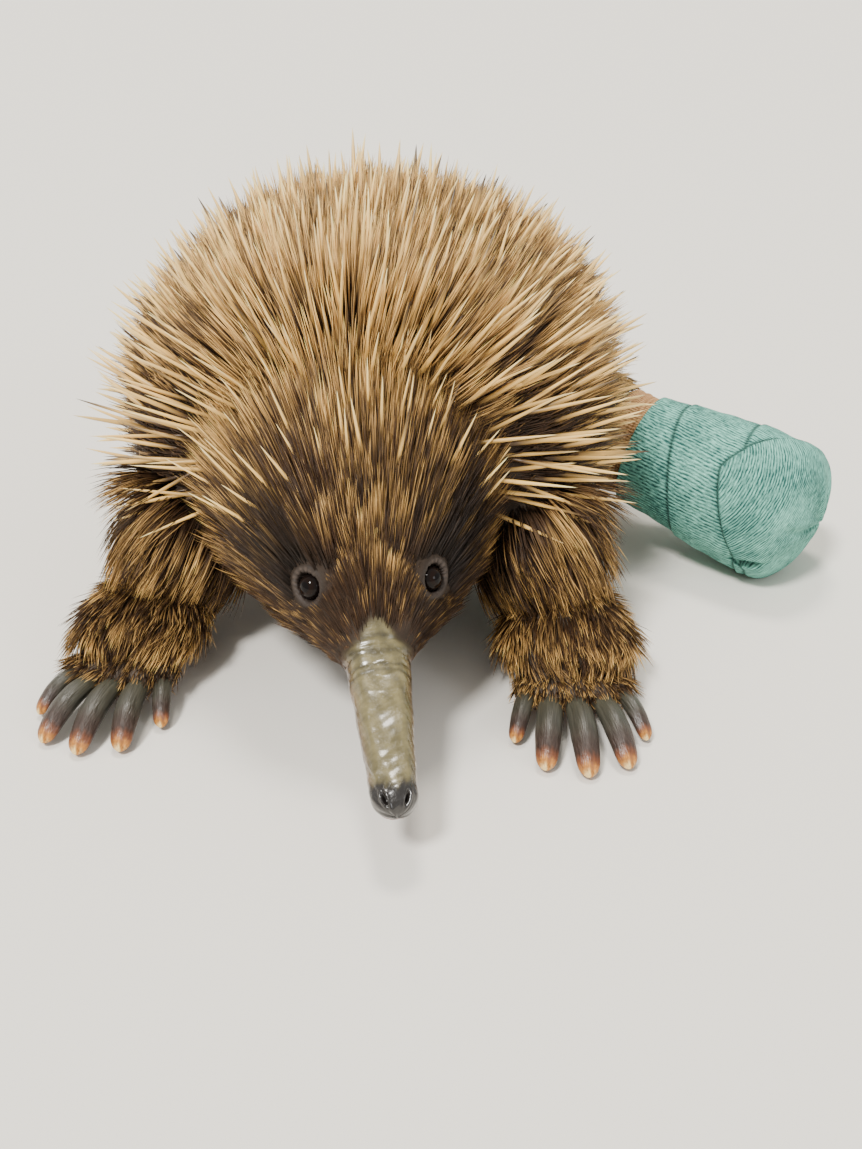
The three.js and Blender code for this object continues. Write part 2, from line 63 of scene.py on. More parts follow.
HEAD_TURN = math.radians(12)
HEAD_DROP = math.radians(20)
HEAD_ALONG = (
    math.sin(HEAD_TURN) * math.cos(HEAD_DROP),
    -math.cos(HEAD_TURN) * math.cos(HEAD_DROP),
    -math.sin(HEAD_DROP),
)
NECK = (0, -66, 76)
UP = (0, 0, 1)
BEAK_START = 92
BEAK_END = 153
EYE_ALONG = 68
EYE_ANGLE = math.radians(36)
EYE_RADIUS = 4.9
EYE_DEPTH = 3
EAR_ALONG = 45
EAR_ANGLE = math.radians(2)
EAR_RADIUS = 6.5
NOSTRIL_ALONG = 149
NOSTRIL_ANGLE = math.radians(32)
MOUTH_BELOW = 2.6
VENT_RADIUS = 9
VENT_PLACE = (0, 132, 26)
LEFT, RIGHT = 1, -1


class Form:
    """A straight run of oval rings. Angles go round it from its side, with its top at a quarter turn."""

    def __init__(self, name, origin, along, rings, blunt, up=UP, inset=0.0):
        self.name = name
        self.origin = np.array(origin, float)
        self.along = unit(along)
        self.side = unit(np.cross(self.along, up))
        self.up = np.cross(self.side, self.along)
        self.table = np.array(rings, float)
        self.blunt = blunt
        self.inset = inset
        self.first, self.last = self.table[0, 0], self.table[-1, 0]
        steps = np.arange(len(rings))
        ahead = np.minimum(steps + 1, steps[-1])
        behind = np.maximum(steps - 1, 0)
        rise = self.table[ahead] - self.table[behind]
        self.slopes = rise / rise[:, :1]

    def row(self, t):
        """The row of the table at distance t, on a smooth curve through its rows."""
        t = np.asarray(t, float)
        low_row = np.clip(np.searchsorted(self.table[:, 0], t, side="left") - 1, 0, len(self.table) - 2)
        low, high = self.table[low_row], self.table[low_row + 1]
        span = (high - low)[..., :1]
        x = np.clip((t - low[..., 0])[..., None] / span, 0, 1)
        rise = high - low
        bend_a = self.slopes[low_row] * span - rise
        bend_b = rise - self.slopes[low_row + 1] * span
        return low + rise * x + x * (1 - x) * (bend_a * (1 - x) + bend_b * x)

    def taper(self, t):
        total = np.ones_like(t)
        for depth, length in ((t - self.first, self.blunt[0]), (self.last - t, self.blunt[1])):
            if length:
                total = total * np.sqrt(1 - (1 - np.clip(depth / length, 0, 1)) ** 2)
        return total

    def surface(self, t, angle):
        """A point on the outside of the form."""
        t, angle = np.broadcast_arrays(np.asarray(t, float), np.asarray(angle, float))
        row, taper = self.row(t), self.taper(t)
        reach = np.where(np.sin(angle) > 0, row[..., 3], row[..., 4]) * taper
        width = row[..., 2] * taper
        middle = self.origin + self.along * t[..., None] + self.up * row[..., 1:2]
        across = self.side * (width * np.cos(angle))[..., None]
        return middle + across + self.up * (reach * np.sin(angle))[..., None]

    def frame(self, t, angle):
        """The directions along the surface and out of it."""
        step, turn = 0.5, 0.05
        t = np.clip(t, self.first + step * (self.blunt[0] > 0), self.last - step * (self.blunt[1] > 0))
        along = unit(self.surface(t + step, angle) - self.surface(t - step, angle))
        around = unit(self.surface(t, angle + turn) - self.surface(t, angle - turn))
        return along, unit(np.cross(along, around))

    def skin(self, t, angle, lift=0.0):
        """A point on the skin, which lies an inset inside the form, raised by lift."""
        out = self.frame(t, angle)[1]
        return self.surface(t, angle) + out * np.asarray(lift - self.inset, float)[..., None]

    def inside(self, places, margin=0.0):
        """Whether places are inside the form, by more than a margin."""
        rel = places - self.origin
        t = rel @ self.along
        row, taper = self.row(t), self.taper(t)
        a, b = rel @ self.side, rel @ self.up - row[:, 1]
        reach = np.where(b > 0, row[:, 3], row[:, 4]) * taper - self.inset - margin
        width = row[:, 2] * taper - self.inset - margin
        within = (t > self.first + margin) & (t < self.last - margin) & (reach > 0) & (width > 0)
        return within & ((a / np.maximum(width, 1e-6)) ** 2 + (b / np.maximum(reach, 1e-6)) ** 2 < 1)


FLESH_INSET = 5  # of a leg's skin under the outside of its fur
TORSO = Form("torso", (0, 0, 0), (0, 1, 0), [
    (-94, 74, 56, 46, 40),
    (-60, 78, 79, 60, 52),
    (-15, 80, 91, 69, 60),
    (35, 81, 97, 73, 64),
    (80, 79, 93, 68, 61),
    (118, 73, 77, 56, 52),
    (150, 65, 50, 40, 38),
], (36, 38))
FACE = Form("face", NECK, HEAD_ALONG, [
    (0, 0, 42, 40, 36),
    (25, 0, 41, 38, 34),
    (50, 0, 36, 32, 28),
    (68, -1, 28, 24, 22),
    (82, -2, 18, 15.5, 15),
    (BEAK_START, -2.5, 12, 10.5, 10.5),
    (105, -2.8, 10.6, 8.6, 8.6),
    (122, -2.6, 9.2, 7.2, 7.2),
    (140, -2.2, 8, 6.3, 6.2),
    (BEAK_END, -2, 7.6, 6.3, 6),
], (12, 7))
TAIL = Form("tail", (0, 130, 60), (0, 0.93, -0.37), [
    (0, 0, 32, 28, 26),
    (26, 0, 25, 21, 19),
    (54, 0, 14, 12, 12),
], (6, 18))


def arm_form(side):
    shoulder = np.array((side * 58, -44, 64))
    wrist = np.array((side * 86, -74, 24))
    rings = [(0, 0, 33, 33, 33), (30, 0, 29, 29, 28), (57, 0, 22, 22, 20)]
    return Form("arm", shoulder, wrist - shoulder, rings, (20, 12), (0, -1, 0), FLESH_INSET)


def hand_form(side):
    rings = [
        (-12, 0, 16, 13, 16),
        (6, 0, 22, 15, 18),
        (20, -1, 25, 14, 17),
        (34, -3, 23, 11, 15),
        (45, -6, 19, 8, 12),
    ]
    return Form("hand", (side * 85, -68, 17), (side * 0.1, -0.995, 0), rings, (12, 10))


HIP_RIGHT, ANKLE_RIGHT = np.array((-62, 84, 58)), np.array((-94, 96, 22))
THIGH_RIGHT = Form("thigh_right", HIP_RIGHT, ANKLE_RIGHT - HIP_RIGHT, [
    (0, 0, 37, 39, 35),
    (26, 0, 31, 31, 29),
    (48, 0, 20, 20, 19),
], (24, 10), (0, -1, 0), FLESH_INSET)
FOOT = Form("foot", (-94, 91, 15), (-0.6, 0.8, 0), [
    (-14, 0, 14, 12, 14),
    (4, 0, 19, 14, 16),
    (22, -1, 20, 12, 15.5),
    (36, -4, 16, 9, 11.5),
], (12, 10))

# The bandaged leg is held out stiffly to the side and a little forward.
SPLINT = ((60, 84, 60), (0.85, -0.49, -0.18))
CUFF_START, WRAP_START, WRAP_END = 66, 80, 170
GAP = 0.34
THIGH_LEFT = Form("thigh_left", *SPLINT, [
    (0, 0, 34, 34, 34),
    (32, 0, 31, 31, 31),
    (CUFF_START, 0, 24, 24, 24),
], (20, 0), inset=FLESH_INSET - 3)
CUFF = Form("cuff", *SPLINT, [
    (CUFF_START + GAP, 0, 25.5, 25.5, 25.5),
    (WRAP_START, 0, 25, 25, 25),
], (0, 0))
WRAP = Form("wrap", *SPLINT, [
    (WRAP_START + GAP, 0, 27, 26.5, 26.5),
    (100, 0, 30, 28.5, 29),
    (125, 0, 34, 31, 33),
    (148, -0.5, 35, 31, 34.5),
    (WRAP_END, 1, 31, 26, 30.5),
], (0, 15))

ARMS = {side: arm_form(side) for side in (LEFT, RIGHT)}
HANDS = {side: hand_form(side) for side in (LEFT, RIGHT)}

# Offset across, how far the digit reaches, its radius, then the claw's length and half width.
HAND_DIGITS = [
    (-19, 50, 5.4, 20, 3.5),
    (-10.2, 55, 6.4, 31, 4.8),
    (0, 56, 6.6, 34, 5),
    (10.2, 55, 6.4, 31, 4.8),
    (19, 50, 5.4, 20, 3.5),
]
FOOT_DIGITS = [
    (16, 41, 5.4, 11, 3),
    (7.5, 47, 6.2, 42, 4),
    (-1, 47, 5, 24, 3.1),
    (-8.5, 46, 4.6, 14, 2.7),
    (-15, 42, 4.2, 11, 2.5),
]
FAN_PER_MM = 0.016
DIGIT_HEIGHT = 8.5
DIGIT_SLIMNESS = 3.4
CLAW_FLATNESS = 0.68
CLAW_ARCH = 0.07
CLAW_DROP = 6
CLAW_MARGIN = 1.2
TIP_SHARE = 0.24
DIGIT_SHARES = [(0, 0.7), (0.5, 1), (0.85, 0.98), (1, 0.8)]
# Part along a claw and its share of full width, broader and blunter at the end than in the solids.
CLAW_SHARES = [(0, 0.92), (0.28, 1.04), (0.6, 1.03), (0.86, 0.88), (0.96, 0.7), (1, 0.58)]


def on_face(side, t, angle):
    """A place on the face: where it is, the direction along the face and the direction out."""
    turned = math.pi - angle if side == LEFT else angle
    along, out = FACE.frame(np.float64(t), np.float64(turned))
    return FACE.surface(t, turned), along, out


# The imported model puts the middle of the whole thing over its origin. An eye, whose place is known, tells
# how far the animal was moved for that.
eye_place, _, eye_out = on_face(LEFT, EYE_ALONG, EYE_ANGLE)
eye_low, eye_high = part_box("eye_left")
SHIFT = np.array((eye_low + eye_high) / 2) / MM - (eye_place - eye_out * EYE_DEPTH)
SHIFT[2] = 0


def to_row(places):
    """Millimetres in the animal's frame to metres in the row's."""
    return (np.asarray(places, float) + SHIFT) * MM


# Meshes


def mesh_object(name, verts, faces):
    """An object from places in millimetres and faces, each array of faces holding rows of one length."""
    mesh = bpy.data.meshes.new(name)
    faces = [np.asarray(group) for group in faces if len(group)]
    loops = np.concatenate([group.ravel() for group in faces])
    sizes = np.concatenate([np.full(len(group), group.shape[1]) for group in faces])
    starts = np.concatenate([[0], np.cumsum(sizes)[:-1]])
    mesh.vertices.add(len(verts))
    mesh.vertices.foreach_set("co", to_row(verts).astype(np.float32).ravel())
    mesh.loops.add(len(loops))
    mesh.loops.foreach_set("vertex_index", loops.astype(np.int32))
    mesh.polygons.add(len(sizes))
    mesh.polygons.foreach_set("loop_start", starts.astype(np.int32))
    mesh.update(calc_edges=True)
    mesh.polygons.foreach_set("use_smooth", np.full(len(sizes), True))
    obj = bpy.data.objects.new(name, mesh)
    bpy.context.scene.collection.objects.link(obj)
    return obj


def loft(rings):
    """The places and faces of a closed surface over rings of points, an array of ring by corner by 3."""
    count, corners = rings.shape[:2]
    verts = np.concatenate([rings.reshape(-1, 3), rings[0].mean(0)[None], rings[-1].mean(0)[None]])
    j = np.arange(corners)
    k = (j + 1) % corners
    rows = np.arange(count - 1)[:, None] * corners
    quads = np.stack([rows + j, rows + corners + j, rows + corners + k, rows + k], -1).reshape(-1, 4)
    start, end = count * corners, count * corners + 1
    last = (count - 1) * corners
    caps = np.concatenate([
        np.stack([np.full(corners, start), j, k], -1),
        np.stack([np.full(corners, end), last + k, last + j], -1),
    ])
    return verts, [quads, caps]


def cap_depths(length, step):
    """Depths from the end of a form where the rings of its rounded end lie, from the end inwards."""
    turn = np.linspace(0.08, math.pi / 2, max(6, round(length / step)), endpoint=False)
    return length * (1 - np.cos(turn))


def form_surface(form, step, corners, relief=None, fine=None):
    """A form's closed surface. relief is a function of the distance and the angle that raises its detail.
    fine gives a distance beyond which the rings lie closer, and their step."""
    nose, heel = form.blunt
    start, end = form.first + nose, form.last - heel
    split, fine_step = fine or (end, step)
    rings = [np.linspace(start, split, max(2, round((split - start) / step) + 1))]
    if fine:
        rings.append(np.linspace(split, end, round((end - split) / fine_step) + 1)[1:])
    if nose:
        rings.insert(0, form.first + cap_depths(nose, step))
    if heel:
        rings.append((form.last - cap_depths(heel, fine_step))[::-1])
    t, angle = np.meshgrid(np.concatenate(rings), np.arange(corners) / corners * TAU, indexing="ij")
    return loft(form.skin(t, angle, relief(t, angle) if relief else np.zeros_like(t)))


def together(surfaces):
    """Several surfaces as one."""
    verts, groups, start = [], {}, 0
    for places, faces in surfaces:
        verts.append(places)
        for group in faces:
            groups.setdefault(group.shape[1], []).append(group + start)
        start += len(places)
    return np.concatenate(verts), [np.concatenate(group) for group in groups.values()]


def attribute(mesh, name, values, kind="FLOAT"):
    """Stores a value for each point of a mesh."""
    layer = mesh.attributes.new(name, kind, "POINT")
    key = {"FLOAT": "value", "FLOAT_VECTOR": "vector", "FLOAT_COLOR": "color"}[kind]
    layer.data.foreach_set(key, np.asarray(values, np.float32).ravel())


def paint(obj, colour):
    """Stores a colour for each point of an object."""
    opaque = np.ones(colour.shape[:-1] + (1,))
    attribute(obj.data, "paint", np.concatenate([colour, opaque], -1), "FLOAT_COLOR")


def places_of(mesh):
    """A mesh's places in millimetres, in the animal's frame."""
    co = np.empty(len(mesh.vertices) * 3, np.float32)
    mesh.vertices.foreach_get("co", co)
    return co.reshape(-1, 3) / MM - SHIFT


def settle(obj):
    """Applies an object's modifiers to its mesh."""
    graph = bpy.context.evaluated_depsgraph_get()
    mesh = bpy.data.meshes.new_from_object(obj.evaluated_get(graph))
    obj.modifiers.clear()
    obj.data = mesh
    mesh.polygons.foreach_set("use_smooth", np.full(len(mesh.polygons), True))


def smoothstep(low, high, x):
    x = np.clip((x - low) / (high - low), 0, 1)
    return x * x * (3 - 2 * x)


def ripple(a, b):
    """A smooth, irregular value between -1 and 1 from two running phases."""
    return (np.sin(a) + np.sin(0.61 * b + 1.3 + np.sin(0.53 * a)) + np.sin(1.7 * a - 0.8 * b + 2.1)) / 3


def bump(x, middle, width):
    return np.exp(-(((x - middle) / width) ** 2))


def top_of(angle):
    """How far round a form an angle is from its top, in radians."""
    return np.abs(np.arctan2(np.cos(angle), np.sin(angle)))


# Skin

EYE_STRETCH = 1.18  # how much longer the bare ring round an eye is along the face than across it
LID_RISE = 2  # of the lids over the middle of the eye
MOUTH_START = 143
# The ear slits and nostrils: the place and angle on the face, half the length and width, the height of the
# edge and how far out it stands, the depth, and how far out the floor reaches.
OPENINGS = (
    (EAR_ALONG, EAR_ANGLE, 2.4, 6, 1.2, 1.35, 3, 0.55),
    (NOSTRIL_ALONG, math.pi / 2 - NOSTRIL_ANGLE, 2.6, 0.95, 0.22, 1.4, 2.2, 0.4),
)
# Where each fold across the beak lies along the face, and how deep it is.
BEAK_FOLDS = ((89.5, 0.3), (92.6, 0.42), (94.6, 0.3), (97.8, 0.34), (101.5, 0.2), (108, 0.12))


def from_spot(place, side, t, angle):
    """How far places lie from a spot on the face: along the face, across it, and out of it."""
    at, along, out = on_face(side, t, angle)
    rel = place - at
    return rel @ along, rel @ np.cross(along, out), rel @ out


def from_eye(place, side):
    """How far places lie along the face, across it and out of it from an eye, and how far from it in all."""
    along, across, out = from_spot(place, side, EYE_ALONG, EYE_ANGLE)
    return along, across, out, np.hypot(along / EYE_STRETCH, across)


def eye_relief(place, side):
    """The socket of an eye, the rim round it, and fine folds outside the rim."""
    along, across, _, away = from_eye(place, side)
    rim = 0.9 * bump(away, 6.1, 1.2) + 0.4 * bump(away, 9.5, 2.5)
    socket = 3.4 * (1 - smoothstep(4.2, 5.0, away))
    folds = np.sin(5.2 * away + 1.5 * np.sin(3 * np.arctan2(across, along)))
    return rim - socket + 0.12 * folds * bump(away, 8, 2.2)


def opening_relief(place, side, opening):
    """An ear slit or a nostril, with the edge round it."""
    distance, angle, half_length, half_width, lip, lip_out, depth, floor_out = opening
    along, across, _ = from_spot(place, side, distance, angle)
    slit = np.hypot(along / half_length, across / half_width)
    return lip * bump(slit, lip_out, 0.35) - depth * (1 - smoothstep(floor_out, 1, slit))


def beak_relief(t, angle):
    """Two ridges along the beak with a hollow between, its raised end, folds and a fine unevenness."""
    top = top_of(angle)
    on_beak = smoothstep(86, 96, t)
    ridges = 0.45 * bump(top, 0.68, 0.2) - 0.45 * bump(top, 0, 0.38)
    rise = on_beak * (1 - smoothstep(138, 146, t)) * ridges
    rise += 0.35 * bump(t, 146.5, 2.2) * smoothstep(-0.2, 0.4, np.sin(angle))
    for fold, depth in BEAK_FOLDS:
        wander = 0.9 * np.sin(2.3 * angle + fold) + 0.3 * np.sin(7 * angle - fold)
        rise -= depth * bump(t + wander, fold, 0.4)
    rise += on_beak * 0.3 * ripple(0.43 * t + 2.2 * np.cos(2 * angle), 5 * angle + 0.5 * t)
    rise += on_beak * 0.1 * ripple(1.3 * t + 3 * np.cos(3 * angle), 9 * angle + t)
    return rise


def mouth_relief(place, t):
    """The line of the mouth along the end of the beak, over a full lower lip."""
    height = (place - FACE.origin) @ FACE.up - FACE.row(t)[..., 1]
    line = 1.1 * bump(height, -MOUTH_BELOW, 0.5) * smoothstep(MOUTH_START - 2, MOUTH_START + 1, t)
    lip = 0.4 * bump(height, -MOUTH_BELOW - 1.7, 1.1) * smoothstep(MOUTH_START, MOUTH_START + 3, t)
    return lip - line


def face_relief(t, angle):
    """How far the skin of the head and beak stands out of its form."""
    place = FACE.surface(t, angle)
    rise = beak_relief(t, angle) + mouth_relief(place, t)
    for side in (LEFT, RIGHT):
        rise += eye_relief(place, side)
        for opening in OPENINGS:
            rise += opening_relief(place, side, opening)
    return rise


def interpolated(shares, part):
    """Sizes at parts of a length, on a smooth curve through the given ones."""
    knots = np.array(shares, float)
    fine = np.linspace(0, 1, 60)
    values = np.interp(fine, knots[:, 0], knots[:, 1])
    blur = np.array([1, 2, 3, 2, 1]) / 9
    padded = np.concatenate([values[:1], values[:1], values, values[-1:], values[-1:]])
    return np.interp(part, fine, np.convolve(padded, blur, "valid"))


def horn(root, ahead, length, width, thickness, shares, drop=0.0, lift=0.0, corners=20, count=22, keel=0.0):
    """A digit or claw: a tapered, curved run from its root. keel raises a ridge along its top."""
    part = np.concatenate([np.linspace(0, 0.9, count), 1 - 0.1 * (1 - np.sin(np.linspace(0.15, 1.5, 7)))])
    share = interpolated(shares, part)
    share[part > 0.9] *= np.sqrt(np.clip(1 - ((part[part > 0.9] - 0.9) / 0.1) ** 2 * 0.97, 0, 1))
    side = unit(np.cross(ahead, UP))
    rise = lift * 4 * part * (1 - part) - drop * part**2
    middle = root + np.outer(part * length, ahead) + np.outer(rise, UP)
    turn = np.arange(corners) / corners * TAU
    upward = np.sin(turn) + keel * bump(turn, math.pi / 2, 0.5)
    across = side * (width * np.cos(turn))[:, None]
    raised = np.outer(thickness * upward, UP)
    return middle[:, None] + share[:, None, None] * (across + raised)


def paw(form, digits, handed):
    """Where the digits and claws of a hand or foot are: flesh is the length of a digit, and length and width
    are those of its claw. handed turns the order of the digits over."""
    across = unit(np.cross(form.along, UP)) * handed
    base = np.array([form.origin[0], form.origin[1], DIGIT_HEIGHT])
    for aside, reach, radius, claw_length, claw_width in digits:
        ahead = unit(form.along + across * aside * FAN_PER_MM)
        tip = base + form.along * reach + across * aside
        flesh = radius * DIGIT_SLIMNESS
        yield {
            "tip": tip, "ahead": ahead, "root": tip - ahead * flesh, "flesh": flesh, "radius": radius,
            "length": claw_length, "width": claw_width,
        }


PAWS = {
    "fore_left": (HANDS[LEFT], HAND_DIGITS, -LEFT),
    "fore_right": (HANDS[RIGHT], HAND_DIGITS, -RIGHT),
    "hind_right": (FOOT, FOOT_DIGITS, 1),
}


def digit_surface(digit):
    radius = digit["radius"]
    thickness = min(radius, DIGIT_HEIGHT - CLAW_MARGIN)
    return loft(horn(digit["root"], digit["ahead"], digit["flesh"], radius, thickness, DIGIT_SHARES))


def lid_surface(side):
    """The fleshy edge round an eye, thicker and more wrinkled above."""
    at, along, out = on_face(side, EYE_ALONG, EYE_ANGLE)
    across = np.cross(along, out)
    turn, about = np.meshgrid(np.arange(96) / 96 * TAU, np.arange(16) / 16 * TAU, indexing="ij")
    upper = smoothstep(-0.3, 1, -np.cos(turn))
    tube = 0.75 + 0.6 * upper + (0.09 + 0.15 * upper) * np.sin(19 * turn + 1.5 * np.sin(5 * turn))
    radius = 5.3 + 0.5 * upper + 0.22 * np.sin(3 * turn + side) + tube * np.cos(about)
    course = EYE_STRETCH * np.cos(turn)[..., None] * along + np.sin(turn)[..., None] * across
    height = LID_RISE - EYE_DEPTH + 0.25 * upper + tube * np.sin(about)
    places = at + radius[..., None] * course + height[..., None] * out
    rows, corners = turn.shape
    i, j = np.meshgrid(np.arange(rows), np.arange(corners), indexing="ij")
    steps = ((0, 0), (0, 1), (1, 1), (1, 0))
    quads = [(i + ahead) % rows * corners + (j + aside) % corners for ahead, aside in steps]
    return places.reshape(-1, 3), [np.stack(quads, -1).reshape(-1, 4)]


def rest_on_floor(obj):
    """Lifts any place of an object that is under the floor up to it."""
    places = places_of(obj.data)
    places[:, 2] = np.maximum(places[:, 2], 0)
    obj.data.vertices.foreach_set("co", to_row(places).astype(np.float32).ravel())


def remeshed(name, surfaces, voxel, smoothing):
    """Surfaces melted together, with their soles flat on the floor."""
    obj = mesh_object(name, *together(surfaces))
    melt = obj.modifiers.new("melt", "REMESH")
    melt.mode = "VOXEL"
    melt.voxel_size = voxel * MM
    ease = obj.modifiers.new("ease", "SMOOTH")
    ease.factor = 0.5
    ease.iterations = smoothing
    settle(obj)
    rest_on_floor(obj)
    return obj


def bulb_surface():
    """The soft bulb at the vent, a little folded."""
    part, turn = np.meshgrid(np.linspace(0.06, math.pi - 0.06, 26), np.arange(40) / 40 * TAU, indexing="ij")
    radius = VENT_RADIUS * (1 + 0.02 * np.sin(5 * turn) * np.sin(part) ** 2)
    ball = np.stack([np.sin(part) * np.cos(turn), np.sin(part) * np.sin(turn), -np.cos(part)], -1)
    return loft(np.array(VENT_PLACE) + radius[..., None] * ball)


def build_skin():
    """One continuous skin, with the face, lids, hands and foot joined to the body and legs."""
    legs = [form_surface(form, 2, 56) for form in (*ARMS.values(), THIGH_RIGHT, THIGH_LEFT)]
    trunk = [form_surface(TORSO, 3, 120), form_surface(TAIL, 2, 60), bulb_surface()]
    body = remeshed("skin", [*trunk, *legs], 1.7, 5)
    face = mesh_object("face", *form_surface(FACE, 2.5, 240, face_relief, fine=(56, 0.6)))
    lids = [mesh_object("lid", *lid_surface(side)) for side in (LEFT, RIGHT)]
    paws = []
    for name, (form, digits, handed) in PAWS.items():
        flesh = [digit_surface(digit) for digit in paw(form, digits, handed)]
        paws.append(remeshed(name, [form_surface(form, 1.5, 60), *flesh], 0.9, 4))
    others = [face, *lids, *paws]
    for other in others:
        union = body.modifiers.new("union", "BOOLEAN")
        union.operation = "UNION"
        union.solver = "MANIFOLD"
        union.object = other
    settle(body)
    for other in others:
        bpy.data.objects.remove(other)
    return body


def mixed(a, b, weight):
    """Colours a and b mixed, with weight the share of b."""
    weight = np.asarray(weight, float)[..., None]
    return np.asarray(a, float) * (1 - weight) + np.asarray(b, float) * weight


# Colours are linear.
SKIN_DARK = (0.030, 0.019, 0.012)
SKIN_BELLY = (0.20, 0.11, 0.085)
BEAK_GREY = (0.140, 0.117, 0.052)
# The beak's own warmer side colour, darkened further as painted shade.
BEAK_SIDE_WARM_SHADED = (0.130, 0.074, 0.050)
BEAK_TIP = (0.012, 0.010, 0.009)
LIP_PINK = (0.26, 0.10, 0.085)
LID_GREY = (0.034, 0.025, 0.020)
LID_EDGE = (0.022, 0.015, 0.012)
PAW_TOP = (0.075, 0.055, 0.040)
PAW_SOLE = (0.30, 0.13, 0.10)
FOOT_SKIN = (0.14, 0.095, 0.068)
VENT_SKIN = (0.15, 0.105, 0.10)
# How wet the skin is: 0 is dry and 1 shines all over.
BODY_WET = 0.15
BEAK_WET = 0.92
LID_WET = 0.45
FOOT_WET = 0.55
HAND_WET = 0.4
VENT_WET = 0.8


def beak_bare(t, top):
    """How bare the base of the beak is: the fur ends in an upturned V, nearest the eyes over its top."""
    edge = 91 - 7 * bump(top, 0, 0.45)
    return smoothstep(edge - 2.5, edge + 2, t)


def laid(look, share, colour, wet):
    """The skin's colours and wetness, with others laid over them by a share."""
    return mixed(look[0], colour, share), look[1] * (1 - share) + wet * share


def body_colour(x, y, z):
    """Dark skin, with a blotchy pink belly."""
    below = smoothstep(44, 24, z) * smoothstep(96, 60, np.abs(x))
    belly = below * smoothstep(-110, -60, y) * smoothstep(150, 100, y)
    dark = np.tile(np.array(SKIN_DARK), (len(x), 1))
    return mixed(dark, SKIN_BELLY, belly * (0.55 + 0.3 * ripple(0.09 * x, 0.07 * y)))


def beak_colour(t, aside, above, top):
    """Blotchy olive with warmer sides darkened by painted shade, a nearly black end, a pink lower lip and
    painted shade in the folds.
    """
    # Painted shade: away from the top, the sides take a warmer and darker colour.
    beak = mixed(BEAK_GREY, BEAK_SIDE_WARM_SHADED, smoothstep(0.9, 1.7, top))
    blotches = 0.34 * ripple(0.5 * t + aside, 0.9 * aside + 0.3 * t) + 0.2 * ripple(1.9 * t, 2.3 * aside)
    beak = beak * (1 + blotches)[:, None]
    ragged = t - 1.2 * np.cos(3 * aside / 7) + 1.1 * ripple(1.7 * aside, 1.3 * t)
    beak = mixed(beak, BEAK_TIP, smoothstep(141.5, 145.5, ragged) * smoothstep(-4, -1.5, above))
    beak = mixed(beak, LIP_PINK, smoothstep(-1.8, -3.4, above) * smoothstep(120, 145, t))
    # Painted shade: the colour darkens in the folds across the base of the beak.
    folds = sum(bump(t + 0.9 * np.sin(2.3 * top + fold), fold, 0.7) for fold, _ in BEAK_FOLDS[:-1])
    return beak * (1 - 0.5 * np.clip(folds, 0, 1))[:, None]


def lid_colour(along, across, away):
    """A wrinkled lid, with painted light making it palest above the eye and painted shade in its wrinkles
    there, a dark inner edge and dark skin outside it.
    """
    # Painted light: the lid is paler above the eye, where light falls, and painted shade and light follow
    # its wrinkles there.
    above = smoothstep(0.5, -5, along)
    wrinkle_shade = 1 + 0.3 * np.sin(19 * np.arctan2(across, along)) * above
    lid = mixed(LID_GREY, np.array(LID_GREY) * 1.5, 0.3 + 0.7 * above) * wrinkle_shade[:, None]
    lid = mixed(lid, LID_EDGE, smoothstep(5.2, 4.4, away))
    return mixed(lid, np.array(SKIN_DARK) * 0.6, smoothstep(5.7, 6.9, away))


def lay_face(look, places):
    """The look with the bare beak and the lids laid over it."""
    rel = places - FACE.origin
    t = rel @ FACE.along
    row = FACE.row(t)
    aside, above = rel @ FACE.side, rel @ FACE.up - row[:, 1]
    top = np.abs(np.arctan2(aside, above))
    bare = (np.hypot(aside / row[:, 2], above / row[:, 3]) < 1.7) * beak_bare(t, top)
    wet = BEAK_WET + 0.06 * smoothstep(140, 146, t)
    look = laid(look, bare, beak_colour(t, aside, above, top), wet)
    for side in (LEFT, RIGHT):
        along, across, out, away = from_eye(places, side)
        ring = (np.abs(out) < 7) * (1 - smoothstep(6.4, 7.6, away))
        look = laid(look, ring, lid_colour(along, across, away), LID_WET)
    return look


def lay_paw(look, places, form, top_colour, wet):
    """The look with a hand or foot laid over it, with a fleshy sole."""
    rel = places - form.origin
    ahead = rel @ form.along
    aside = np.linalg.norm(rel[:, :2] - np.outer(ahead, form.along[:2]), axis=1)
    z = places[:, 2]
    own = (z < 34) * smoothstep(34, 28, aside) * smoothstep(-14, -4, ahead) * smoothstep(80, 74, ahead)
    fleshy = mixed(top_colour, PAW_SOLE, smoothstep(5, 1.5, z))
    fleshy = fleshy * (1 + 0.2 * ripple(0.8 * ahead, 0.7 * aside + 0.5 * z))[:, None]
    return laid(look, own, fleshy, wet)


def paint_skin(obj):
    """Stores the skin's colour, and how wet it shines."""
    places = places_of(obj.data)
    look = body_colour(*places.T), np.full(len(places), BODY_WET)
    look = lay_face(look, places)
    for hand in HANDS.values():
        look = lay_paw(look, places, hand, PAW_TOP, HAND_WET)
    look = lay_paw(look, places, FOOT, FOOT_SKIN, FOOT_WET)
    vent = smoothstep(VENT_RADIUS + 2.5, VENT_RADIUS + 0.5, np.linalg.norm(places - VENT_PLACE, axis=1))
    colour, wet = laid(look, vent, VENT_SKIN, VENT_WET)
    paint(obj, np.clip(colour, 0, 1))
    attribute(obj.data, "wet", wet)


# Coat

